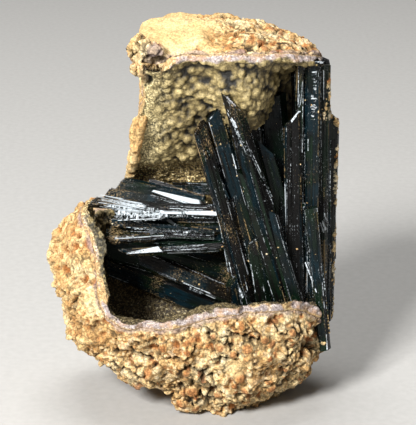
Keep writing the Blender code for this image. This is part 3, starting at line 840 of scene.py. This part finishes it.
# %% Crystals: one growth step
STEP_SUNK = 0.25      # how deep a strip's foot lies in its face, in mm
TOP_HALF = 0.44       # half the width of a strip's top, as a share of its foot
LEAN = 0.45           # the most that its top leans, as a share of its height
SKEW = 0.5            # the most that its ends are cut askew, as a share of its width
BOX_FACES = ((3, 2, 1, 0), (4, 5, 6, 7), (0, 1, 5, 4), (1, 2, 6, 5), (2, 3, 7, 6), (3, 0, 4, 7))


def add_strip(shape, axes, place, size, dice):
    """A thin strip on a face. Place is across, start, end; size is width, height
    and the share of the width that is left at the start."""
    origin, across, along, normal = axes
    middle, start, end = place
    width, height, narrow = size
    lean = dice.uniform(-LEAN, LEAN) * height
    skew = dice.uniform(-SKEW, SKEW) * width
    corners = []
    ends = ((-1, start, 1, narrow), (1, start, -1, narrow), (1, end, 1, 1.0), (-1, end, -1, 1.0))
    for side, end_at, slant, share in ends:
        reach = end_at + slant * skew * share
        corners.append((middle + side * share * width / 2, reach, -STEP_SUNK))
    for side, end_at, slant, share in ends:
        inset = height if end_at == start else -height
        reach = end_at + slant * skew * share + inset
        corners.append((middle + side * share * width * TOP_HALF, reach, height + side * lean))
    verts = [shape.verts.new(origin + across * u + along * v + normal * w) for u, v, w in corners]
    return [shape.faces.new([verts[index] for index in quad]) for quad in BOX_FACES]


# %% Crystals: what the material reads
MAP_APART = 40.0      # mm between the maps of the lowest and the highest face number


def write_blade_map(faces, axes, number, bruise_glint_dust, layers):
    """Map faces in mm across and along their blade, number them, and mark them:
    above 0 the mark is a pale bruise with painted glints, below 0 it holds golden dust."""
    origin, across, along, _ = axes
    blade_map, facet, bruise_glint_dust_layer = layers
    for face in faces:
        face[facet] = number
        face[bruise_glint_dust_layer] = bruise_glint_dust
        for loop in face.loops:
            offset = loop.vert.co - origin
            loop[blade_map].uv = (offset.dot(across) + MAP_APART * number, offset.dot(along))


def new_layers(shape):
    """The map and the two face numbers that the crystal material reads."""
    floats = shape.faces.layers.float
    return shape.loops.layers.uv.new("BladeMap"), floats.new("facet"), floats.new("bruise_glint_dust")


# %% Crystals: growth steps over a face (sizes in mm)
MEAN_WIDTH = 0.60
BROAD_SHARE, BROAD, NARROW = 0.3, (0.8, 2.2), (0.12, 0.6)
STEP_MARGIN, SHORTEST_STEP = 0.15, 2.5
STEP_HEIGHTS = (0.03, 0.05, 0.08, 0.12, 0.20)
STEP_BRUISE_GLINT_DUST = (0.0,) * 12 + (0.15, 0.3, -0.3)
# Only strips narrower than this get pale bruises with painted glints, and golden dust.
BRUISE_GLINT_DUST_BELOW = 0.45      # only strips narrower than this are scuffed


def lay_steps(shape, face_span, axes, number, layers, dice, cover):
    """Growth steps over one face, and how many there are."""
    outline, area, length, left, right = face_span
    laid = 0
    for _ in range(round(cover * area / (MEAN_WIDTH * length))):
        broad = dice.random() < BROAD_SHARE
        width = dice.uniform(*BROAD) if broad else dice.uniform(*NARROW)
        width = min(width, 0.6 * (right - left))
        middle = dice.uniform(left + width * 0.6, right - width * 0.6)
        spans = [span_along(outline, middle + side * width / 2) for side in (-1, 1)]
        if None in spans:
            continue
        start = max(span[0] for span in spans) + STEP_MARGIN
        end = min(span[1] for span in spans) - STEP_MARGIN
        if end - start < SHORTEST_STEP:
            continue
        size = (end - start) * dice.uniform(0.3, 1.0)
        room = end - start - size
        start += dice.choice((0.0, room, dice.uniform(0.0, room)))
        height = dice.choice(STEP_HEIGHTS)
        bruise_glint_dust = dice.choice(STEP_BRUISE_GLINT_DUST) if width < BRUISE_GLINT_DUST_BELOW else 0.0
        place, form = (middle, start, start + size), (width, height, dice.uniform(0.4, 1.0))
        faces = add_strip(shape, axes, place, form, dice)
        shade = min(1.0, max(0.0, number + dice.uniform(-0.12, 0.12)))
        write_blade_map(faces, axes, shade, bruise_glint_dust, layers)
        laid += 1
    return laid


# %% Crystals: slivers along the edges (sizes in mm)
SHORTEST_EDGE = 5.0
STEEPNESS = 0.06          # an edge that strays more than this from the blade's way is an end
BARE_SHARE = 0.55         # the share of edges that stay sharp
EDGE_INSET = 0.1
SLIVER_ROOM = 3.0         # the last sliver starts this far from the end


def lay_edges(shape, outline, axes, number, layers, dice):
    """Thin slivers along the long edges of one face, some bruised pale with painted glints and
    some dusty.
    """
    laid = 0
    middle_across = sum(point[0] for point in outline) / len(outline)
    for first, second in zip(outline, outline[1:] + outline[:1]):
        low, high = sorted((first, second), key=lambda point: point[1])
        rise = high[1] - low[1]
        strays = abs(high[0] - low[0]) > STEEPNESS * rise
        if rise < SHORTEST_EDGE or strays or dice.random() < BARE_SHARE:
            continue
        inward = math.copysign(EDGE_INSET, middle_across - low[0])
        along = low[1] + dice.uniform(0.2, 0.4 * rise)
        while along < high[1] - SLIVER_ROOM:
            size = min(dice.uniform(3.0, 16.0), high[1] - 0.3 - along)
            share = (along + size / 2 - low[1]) / rise
            middle = low[0] + share * (high[0] - low[0]) + inward
            form = (dice.uniform(0.08, 0.30), dice.uniform(0.04, 0.10), dice.uniform(0.2, 1.0))
            faces = add_strip(shape, axes, (middle, along, along + size), form, dice)
            # Bruised and pale slivers carry painted glints; dusty ones carry golden dust.
            bruised, white_glint, dusty = ((0.1, 0.3), (0.3, 0.5), (-0.5, -0.2))
            scuffs = [dice.uniform(*reach) for reach in (bruised, white_glint, dusty)]
            write_blade_map(faces, axes, number, dice.choice(scuffs), layers)
            along += size + dice.uniform(1.0, 12.0)
            laid += 1
    return laid


# %% Crystals: dress a group of blades
MERGE = 0.002                       # mm
FLAT_ANGLE = math.radians(0.8)      # triangles that bend less than this are one face
NARROWEST_FACE, SHORTEST_FACE = 0.5, 3.0


def finish_crystals(shape, name):
    """Turn a shape in mm into a piece in metres."""
    for vert in shape.verts:
        vert.co *= MM
    mesh = bpy.data.meshes.new(name)
    shape.to_mesh(mesh)
    shape.free()
    return new_piece(name, mesh)


def dress_crystals(node, name, seed, cover, dust=0.0):
    """A copy of a crystal group with growth steps. Cover is how many layers of steps,
    and dust is how much golden dust its bare faces hold."""
    dice = random.Random(seed)
    shape = bmesh.new()
    shape.from_mesh(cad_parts[node].data)
    for vert in shape.verts:
        vert.co /= MM
    bmesh.ops.remove_doubles(shape, verts=shape.verts, dist=MERGE)
    bmesh.ops.dissolve_limit(
        shape, angle_limit=FLAT_ANGLE, verts=shape.verts, edges=shape.edges
    )
    shape.normal_update()
    layers = new_layers(shape)
    laid = 0
    for face in list(shape.faces):
        axes = face_axes(face)
        number = dice.random()
        write_blade_map([face], axes, number, -dust, layers)
        origin, across, along, _ = axes
        offsets = [vert.co - origin for vert in face.verts]
        outline = [(offset.dot(across), offset.dot(along)) for offset in offsets]
        left, right = (pick(point[0] for point in outline) for pick in (min, max))
        length = max(point[1] for point in outline) - min(point[1] for point in outline)
        if right - left < NARROWEST_FACE or length < SHORTEST_FACE:
            continue
        face_span = (outline, face.calc_area(), length, left, right)
        laid += lay_steps(shape, face_span, axes, number, layers, dice, cover)
        laid += lay_edges(shape, outline, axes, number, layers, dice)
    piece = finish_crystals(shape, name)
    print(name, "has", laid, "growth steps and", len(piece.data.polygons), "faces")
    return piece


GROUPS = (      # CAD node, piece, seed, cover and, for the deepest, dust
    ("upright_crystals", "upright_blades", 3, 1.7),
    ("corner_crystal", "corner_blade", 5, 1.2),
    ("cross_crystals", "cross_blades", 7, 1.8),
    ("cavity_crystals", "cavity_blades", 11, 1.0, 0.1),
)
crystals = {group[0]: dress_crystals(*group) for group in GROUPS}

# %% [markdown]
# ## Splinters
# Vivianite splits so easily that knocks leave white splinters. Their white is partly
# real bruising and partly painted highlight. They lie in sheaves, side by side along
# the blades, and one hackly patch shows where a level blade has broken across. Each
# sheaf is given by its middle line, and takes its tilt from the crystal face nearest
# to its middle. A sheaf of one is a broad clean wedge that widens from its first end.

# %% Splinters: where they lie
# Two ends in mm, breadth of the sheaf, height, number of splinters, whiteness (bruise and painted
# highlight).
SHEAVES = (
    ((-9.8, -6.6, 56.2), (2.3, -6.9, 52.5), 2.3, 0.4, 1, 0.9),
    ((-11.0, -6.6, 55.2), (0.2, -7.2, 52.2), 1.6, 0.4, 5, 0.3),
    ((-23.4, -9.9, 54.5), (-11.4, -10.2, 52.3), 3.0, 0.3, 16, 0.75),
    ((-23.0, -9.9, 53.2), (-14.4, -10.3, 51.6), 1.6, 0.3, 6, 0.4),
    ((-19.8, -10.4, 50.4), (-8.0, -9.4, 50.6), 3.0, 0.2, 8, 0.5),
    ((-8.4, -9.6, 51.3), (7.4, -8.9, 50.4), 0.9, 0.4, 3, 0.7),
    ((-7.2, -9.9, 52.4), (5.2, -9.2, 52.0), 1.4, 0.3, 5, 0.4),
    ((-18.5, -8.0, 49.0), (6.0, -8.4, 48.2), 2.6, 0.2, 10, 0.22),
    ((-19.4, -9.6, 44.6), (-7.0, -8.9, 45.2), 0.6, 0.3, 2, 0.5),
    ((-16.2, -11.9, 41.4), (-7.8, -10.9, 42.2), 1.6, 0.3, 1, 0.9),
    ((-8.2, -10.8, 42.2), (6.5, -8.6, 42.0), 1.6, 0.2, 8, 0.3),
    ((-18.0, -9.0, 47.0), (5.5, -8.4, 46.0), 2.4, 0.2, 8, 0.18),
    ((-6.4, -6.3, 48.2), (-1.8, -7.7, 45.4), 0.8, 0.5, 2, 0.2),
    ((-2.3, -8.2, 46.0), (-0.7, -8.2, 46.1), 1.6, 0.5, 2, 0.5),
    ((-11.2, -1.2, 33.5), (-3.7, -1.4, 30.4), 0.6, 0.3, 3, 0.25),
    ((-3.7, -1.2, 30.2), (3.8, 0.6, 26.4), 0.6, 0.3, 3, 0.3),
    ((7.8, -12.5, 80.2), (11.2, -15.2, 73.8), 0.9, 0.2, 3, 0.7),
    ((9.6, -13.8, 76.4), (14.0, -14.8, 67.4), 1.1, 0.2, 4, 0.4),
    ((12.6, -14.6, 70.6), (17.2, -12.4, 60.0), 1.1, 0.2, 5, 0.32),
    ((16.4, -12.4, 62.0), (20.4, -9.6, 52.0), 1.0, 0.2, 4, 0.25),
    ((1.4, -11.2, 72.4), (4.4, -11.7, 65.7), 1.0, 0.1, 4, 0.22),
    ((4.0, -11.7, 66.6), (9.4, -10.1, 52.6), 1.0, 0.1, 4, 0.18),
    ((17.1, -1.2, 66.0), (20.3, -5.0, 59.6), 1.1, 0.3, 3, 0.5),
    ((26.6, -5.6, 83.4), (25.8, -5.6, 76.8), 0.8, 0.2, 3, 0.35),
    ((25.6, -5.8, 76.4), (23.5, -6.6, 73.9), 0.6, 0.3, 2, 0.5),
    ((24.2, -6.4, 73.4), (23.4, -6.5, 54.6), 0.9, 0.2, 4, 0.25),
    ((28.6, -5.6, 79.8), (30.2, -5.4, 79.8), 12.5, 0.2, 15, 0.4),
    ((31.6, -3.3, 49.0), (33.4, -3.2, 43.4), 2.2, 0.3, 3, 0.55),
    ((27.4, -6.2, 52.6), (28.9, -10.7, 44.5), 0.6, 0.3, 2, 0.35),
    ((28.4, -7.4, 37.6), (31.2, -10.9, 30.8), 1.4, 0.2, 4, 0.35),
    ((21.5, -6.0, 54.5), (21.6, -6.6, 37.0), 1.0, 0.2, 4, 0.15),
    ((9.4, -8.4, 34.6), (12.2, -9.5, 28.6), 2.6, 0.2, 4, 0.36),
    ((27.6, -6.6, 88.2), (32.0, -3.0, 87.6), 1.6, 0.2, 4, 0.4),
)
WEDGE_START = 0.25                          # its share of the breadth at the narrow end
HACKLY = ((-19.5, -6.0), (49.0, 52.0))      # from and to, across and up
HACKLY_FRONT = -6.0                         # it lies in front of this depth
HACKLY_PIECES = 150

# %% Splinters: build them
crystal_mesh = bmesh.new()
for node in crystals:
    crystal_mesh.from_mesh(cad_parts[node].data)
for vert in crystal_mesh.verts:
    vert.co /= MM
crystal_tree = BVHTree.FromBMesh(crystal_mesh)


def axes_between(start, end):
    """Axes along two points, facing as the crystal beneath them does."""
    centre, normal, _, _ = crystal_tree.find_nearest((start + end) / 2)
    along = (end - start).normalized()
    across = along.cross(normal).normalized()
    return centre, across, along, across.cross(along)


shape = bmesh.new()
layers = new_layers(shape)
dice = random.Random(21)
for first, second, breadth, height, count, white_glint in SHEAVES:
    start, end = Vector(first), Vector(second)
    axes = axes_between(start, end)
    length = (end - start).length
    spacing = breadth / count
    for index in range(count):
        middle = (index + 0.5) * spacing - breadth / 2 + dice.uniform(-0.2, 0.2) * spacing
        size = length * (1.0 if count < 3 else dice.uniform(0.45, 1.0))
        low = dice.uniform(0.0, length - size) - length / 2
        width, tall = spacing * dice.uniform(0.5, 1.1), height * dice.uniform(0.4, 1.2)
        form = (width, tall, dice.uniform(0.2, 0.9))
        if count == 1:
            middle, form = 0.0, (breadth, height, WEDGE_START)
        faces = add_strip(shape, axes, (middle, low, low + size), form, dice)
        pale = min(1.0, white_glint * dice.uniform(0.6, 1.4))
        write_blade_map(faces, axes, dice.random(), pale, layers)

# %% Splinters: the hackly patch
for _ in range(HACKLY_PIECES):
    across_at, up_at = (dice.uniform(*reach) for reach in HACKLY)
    start = Vector((across_at, -30.0, up_at))
    spot, normal, _, _ = crystal_tree.ray_cast(start, Vector((0.0, 1.0, 0.0)))
    if spot is None or spot.y > HACKLY_FRONT:
        continue
    lean = Vector((dice.uniform(-0.3, 0.3), 0.0, 1.0))
    along = (lean - normal * lean.dot(normal)).normalized()
    axes = (spot, along.cross(normal), along, normal)
    half = dice.uniform(0.5, 1.3)
    form = (dice.uniform(0.25, 0.9), dice.uniform(0.1, 0.4), dice.uniform(0.5, 1.0))
    faces = add_strip(shape, axes, (0.0, -half, half), form, dice)
    # The hackly pieces are painted pale: partly bruising, partly painted highlight.
    write_blade_map(faces, axes, dice.random(), dice.uniform(0.2, 0.9), layers)
splinters = finish_crystals(shape, "cleavage_splinters")
print("splinters:", len(splinters.data.polygons) // len(BOX_FACES))

# %% [markdown]
# ## Vivianite
# Fresh vivianite is clear, but light turns it blue-green and then nearly black. A
# thin splinter is green, and a thick blade lets almost nothing through, so a dark
# opaque body under a glassy surface looks right and renders fast. Green and blue
# zones in its colour stand for the light inside. Its refractive index is about 1.6
# and its fresh faces are smooth, with a roughness of 0.1. The shine is turned down,
# because the pale room would otherwise grey every blade. Fine lines run along each
# blade, about 3 to the millimetre and finer, and the blade map lays them that way.
# Where a face is bruised the lines turn white, partly as real bruising and partly as
# painted glints, and where dust is caught they turn golden. A few painted white glints
# show on faces that are not bruised too.

# %% Vivianite: dark body with green and blue zones
vivianite, tree, shader = new_material("vivianite")
place = add_node(tree, "ShaderNodeTexCoord").outputs["Object"]
blade_map = add_node(tree, "ShaderNodeUVMap", uv_map="BladeMap").outputs["UV"]
facet = add_node(tree, "ShaderNodeAttribute", attribute_name="facet").outputs["Fac"]
bruise_glint_dust = add_node(tree, "ShaderNodeAttribute", attribute_name="bruise_glint_dust").outputs["Fac"]
stretched = add_node(tree, "ShaderNodeMapping", {
    "Vector": blade_map, "Scale": (1.0, 0.035, 1.0)})
lines = add_node(tree, "ShaderNodeTexNoise", {
    "Vector": stretched.outputs["Vector"], "Scale": 3.2, "Detail": 5.0, "Roughness": 0.65})
zones = add_node(tree, "ShaderNodeTexNoise", {
    "Vector": place, "Scale": per_metre(11.0), "Detail": 2.0})
depth = add_node(tree, "ShaderNodeMath", {
    0: zones.outputs["Fac"], 1: facet}, operation="MULTIPLY")
dark = fill_ramp(add_node(tree, "ShaderNodeValToRGB", {"Fac": depth.outputs["Value"]}), (
    (0.05, "#060606"), (0.18, "#0A0908"), (0.28, "#0A1D10"), (0.36, "#070E0E"), (0.44, "#071C23"),
    (0.55, "#0C0A07")))

# %% Vivianite: golden dust, and white bruises partly painted as glints
short = add_node(tree, "ShaderNodeMapping", {
    "Vector": blade_map, "Scale": (1.0, 0.45, 1.0)})
flecks = add_node(tree, "ShaderNodeTexNoise", {
    "Vector": short.outputs["Vector"], "Scale": 3.4, "Detail": 3.0, "Roughness": 0.75})
dusty = add_node(tree, "ShaderNodeTexNoise", {
    "Vector": place, "Scale": per_metre(14.0), "Detail": 3.0})
dust_level = add_node(tree, "ShaderNodeMath", {
    0: flecks.outputs["Fac"], 1: dusty.outputs["Fac"]}, operation="ADD")
caught = add_node(tree, "ShaderNodeMath", {
    0: bruise_glint_dust, 1: -0.5, 2: dust_level.outputs["Value"]}, operation="MULTIPLY_ADD")
dust = add_node(tree, "ShaderNodeMapRange", {
    "Value": caught.outputs["Value"], "From Min": 1.17, "From Max": 1.28, "To Max": 0.8})
dusted = add_node(tree, MIX, {
    FACTOR: dust.outputs["Result"], FIRST: dark, SECOND: linear("#A48A60")}, data_type="RGBA")
grit = add_node(tree, "ShaderNodeMath", {
    0: lines.outputs["Fac"], 1: flecks.outputs["Fac"]}, operation="ADD")
# White lines are partly bruising and partly painted glints; a few show even on unbruised faces.
bruise_and_glint = add_node(tree, "ShaderNodeMath", {
    0: bruise_glint_dust, 1: 0.6, 2: grit.outputs["Value"]}, operation="MULTIPLY_ADD")
white_glint = add_node(tree, "ShaderNodeMapRange", {
    "Value": bruise_and_glint.outputs["Value"], "From Min": 1.20, "From Max": 1.34, "To Max": 0.9})
surface = add_node(tree, MIX, {
    FACTOR: white_glint.outputs["Result"], FIRST: dusted.outputs[MIXED],
    SECOND: linear("#DCE4E9")}, data_type="RGBA")

# %% Vivianite: its surface
film_level = add_node(tree, "ShaderNodeMath", {
    0: dust.outputs["Result"], 1: white_glint.outputs["Result"]}, operation="MAXIMUM")
film = add_node(tree, "ShaderNodeMapRange", {
    "Value": film_level.outputs["Value"], "From Max": 0.6, "To Min": 0.10, "To Max": 0.5})
line_bump = add_node(tree, "ShaderNodeBump", {
    "Height": lines.outputs["Fac"], "Strength": 0.8, "Distance": 0.30 * MM})
fleck_bump = add_node(tree, "ShaderNodeBump", {
    "Height": flecks.outputs["Fac"], "Strength": 0.6, "Distance": 0.15 * MM,
    "Normal": line_bump.outputs["Normal"]})
tree.links.new(surface.outputs[MIXED], shader.inputs["Base Color"])
tree.links.new(film.outputs["Result"], shader.inputs["Roughness"])
tree.links.new(fleck_bump.outputs["Normal"], shader.inputs["Normal"])
shader.inputs["IOR"].default_value = 1.6
shader.inputs["Specular IOR Level"].default_value = 0.19
print(vivianite.name, "has", len(tree.nodes), "nodes")

# %% Crystals: finish the pieces
for piece in (*crystals.values(), splinters):
    wear(piece, vivianite)
    piece.data.shade_flat()
    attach(piece, "root")
for node, piece in crystals.items():
    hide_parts(node)

# %% [markdown]
# ## Crumbs and flecks
# Grains of limonite have fallen on the crystals and stuck there, and the right edge
# keeps a thin broken line of the crust that once covered it. They are small
# squashed balls, set where a ray from in front or from the side meets a crystal.
# One ball is made, and its points are used again for every crumb, because that is
# much quicker than adding each as a new ball.

# %% Crumbs: one rough ball (sizes in mm)
CRUMBS = 80
CRUMB_RADII, CRUMB_FLATNESS = (0.1, 0.14, 0.2, 0.3), 0.7
FLECKS = (      # lowest, highest, how many
    (27.0, 43.0, 170), (48.0, 64.0, 200), (67.0, 83.0, 200), (15.0, 24.0, 60),
)
FLECK_RADII, FLECK_FLATNESS, FLECK_SUNK = (0.12, 0.2, 0.3, 0.45, 0.7), 0.5, 0.1
OUTSIDE = 60.0      # further out than any crystal
FROM_FRONT, FROM_RIGHT = Vector((0.0, 1.0, 0.0)), Vector((-1.0, 0.0, 0.0))
dice = random.Random(33)
ball = bmesh.new()
bmesh.ops.create_icosphere(ball, subdivisions=2, radius=1.0)
ball_points = [vert.co.copy() for vert in ball.verts]
ball_faces = [[vert.index for vert in face.verts] for face in ball.faces]
ball.free()
crumb_points, crumb_faces = [], []


def add_crumb(spot, normal, radius, flatness):
    """A rough squashed ball that sits on a face."""
    turn = normal.to_track_quat("Z", "Y").to_matrix()
    stretch = Matrix.Diagonal((radius, radius * dice.uniform(0.6, 1.0), radius * flatness))
    first = len(crumb_points)
    for point in ball_points:
        offset = turn @ stretch @ point
        point = spot + offset * (1.0 + 0.5 * noise.noise((spot + offset) / (0.9 * radius)))
        point.x = min(point.x, cad_high[0] / MM)
        crumb_points.append(point)
    crumb_faces.extend([first + index for index in face] for face in ball_faces)


def outermost_at(up):
    """The point of the crystals that reaches furthest right at that height, or None."""
    starts = [Vector((OUTSIDE, depth, up)) for depth in range(-8, 9)]
    spots = [crystal_tree.ray_cast(start, FROM_RIGHT)[0] for start in starts]
    return max((spot for spot in spots if spot), key=lambda spot: spot.x, default=None)


# %% Crumbs: let them fall
for _ in range(CRUMBS):
    start = Vector((dice.uniform(-20.0, 34.0), -OUTSIDE, dice.uniform(30.0, 86.0)))
    spot, normal, _, _ = crystal_tree.ray_cast(start, Vector((0.0, 1.0, -0.1)).normalized())
    if spot:
        add_crumb(spot, normal, dice.choice(CRUMB_RADII), CRUMB_FLATNESS)
for low, high, count in FLECKS:
    for index in range(count):
        share = dice.random()
        spread = 1.2 * math.sin(math.pi * share) + 0.2
        edge = outermost_at(low + (high - low) * share)
        if edge is None:
            continue
        start = Vector((edge.x - abs(dice.gauss(0.0, 0.5 * spread)), -OUTSIDE, edge.z))
        ray = FROM_FRONT
        if index % 3:      # two in three come from the side
            start = Vector((OUTSIDE, edge.y + dice.gauss(0.0, 2.2 * spread), edge.z))
            ray = FROM_RIGHT
        spot, normal, _, _ = crystal_tree.ray_cast(start, ray)
        if spot:
            spot = spot - normal * FLECK_SUNK
            add_crumb(spot, normal, dice.choice(FLECK_RADII), FLECK_FLATNESS)

# %% Crumbs: the piece
crumb_mesh = bpy.data.meshes.new("limonite_crumbs")
crumb_mesh.from_pydata([point * MM for point in crumb_points], [], crumb_faces)
crumbs = new_piece("limonite_crumbs", crumb_mesh)
tints = [0.5 + 0.8 * noise.noise(point / 3.0) for point in crumb_points]
set_attribute(crumb_mesh, "tint", tints)
set_attribute(crumb_mesh, "top", [1.0] * len(crumb_points))
crumb_mesh.materials.append(limonite)
crumb_mesh.shade_smooth()
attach(crumbs, "root")
print("crumbs:", len(crumb_mesh.polygons), "faces")

# %% [markdown]
# ## Floor, light and camera
# The specimen stands on a plain pale floor of matt paper, with a faint mottle 2 mm
# across. Dark glossy crystals show what they reflect, so the room is dim and two
# soft lights do the work: one high at the front left for the rock's relief, and a
# larger, weaker one overhead for the nearly level blades. The Standard view shows
# each colour as it is. The default view would press the bright ochre towards grey,
# and the rock would look dusty.

# %% Floor
FLOOR_SIZE = 4.0      # metres
bpy.ops.mesh.primitive_plane_add(size=FLOOR_SIZE)
floor = bpy.context.object
floor.name = "floor"
paper, tree, shader = new_material("backdrop_paper")
place = add_node(tree, "ShaderNodeTexCoord").outputs["Object"]
fibres = add_node(tree, "ShaderNodeTexNoise", {"Vector": place, "Scale": per_metre(2.0)})
paper_colour = fill_ramp(add_node(tree, "ShaderNodeValToRGB", {"Fac": fibres.outputs["Fac"]}), (
    (0.3, "#B0AEAA"), (0.7, "#B6B4B0")))
tree.links.new(paper_colour, shader.inputs["Base Color"])
shader.inputs["Roughness"].default_value = 0.8
floor.data.materials.append(paper)
print("floor:", FLOOR_SIZE, "m square")

# %% Lights
LIT_HEIGHT = 0.05      # metres
cad_middle = [(low + high) / 2 for low, high in zip(cad_low, cad_high)]
middle = Vector((cad_middle[0], cad_middle[1], LIT_HEIGHT))


def add_light(name, place, size, power):
    """A square soft light that looks at the specimen: metres, and watts."""
    data = bpy.data.lights.new(name, "AREA")
    data.shape = "SQUARE"
    data.size = size
    data.energy = power
    light = bpy.data.objects.new(name, data)
    light.location = middle + Vector(place)
    light.rotation_euler = (-Vector(place)).to_track_quat("-Z", "Y").to_euler()
    bpy.context.scene.collection.objects.link(light)
    print(name, "light:", power, "W at", round(Vector(place).length, 2), "m")


add_light("key", (-0.42, -0.76, 0.60), 0.25, 22.5)
add_light("overhead", (-0.05, 0.22, 0.95), 0.50, 7.0)
bpy.context.scene.view_settings.view_transform = "Standard"
world = bpy.data.worlds.new("room")
world.use_nodes = True
room_light = world.node_tree.nodes["Background"]
room_light.inputs["Color"].default_value = linear("#C9CDD2")
room_light.inputs["Strength"].default_value = 0.17
bpy.context.scene.world = world

# %% Camera
SENSOR = 36.0      # mm
camera_data = bpy.data.cameras.new("camera")
camera_data.sensor_width = SENSOR
camera_data.lens = SENSOR * CAMERA_DISTANCE / VIEW_SPAN
camera = bpy.data.objects.new("camera", camera_data)
camera.location = aim + direction * CAMERA_DISTANCE
camera.rotation_euler = direction.to_track_quat("Z", "Y").to_euler()
bpy.context.scene.collection.objects.link(camera)
bpy.context.scene.camera = camera
print("lens:", round(camera_data.lens), "mm")
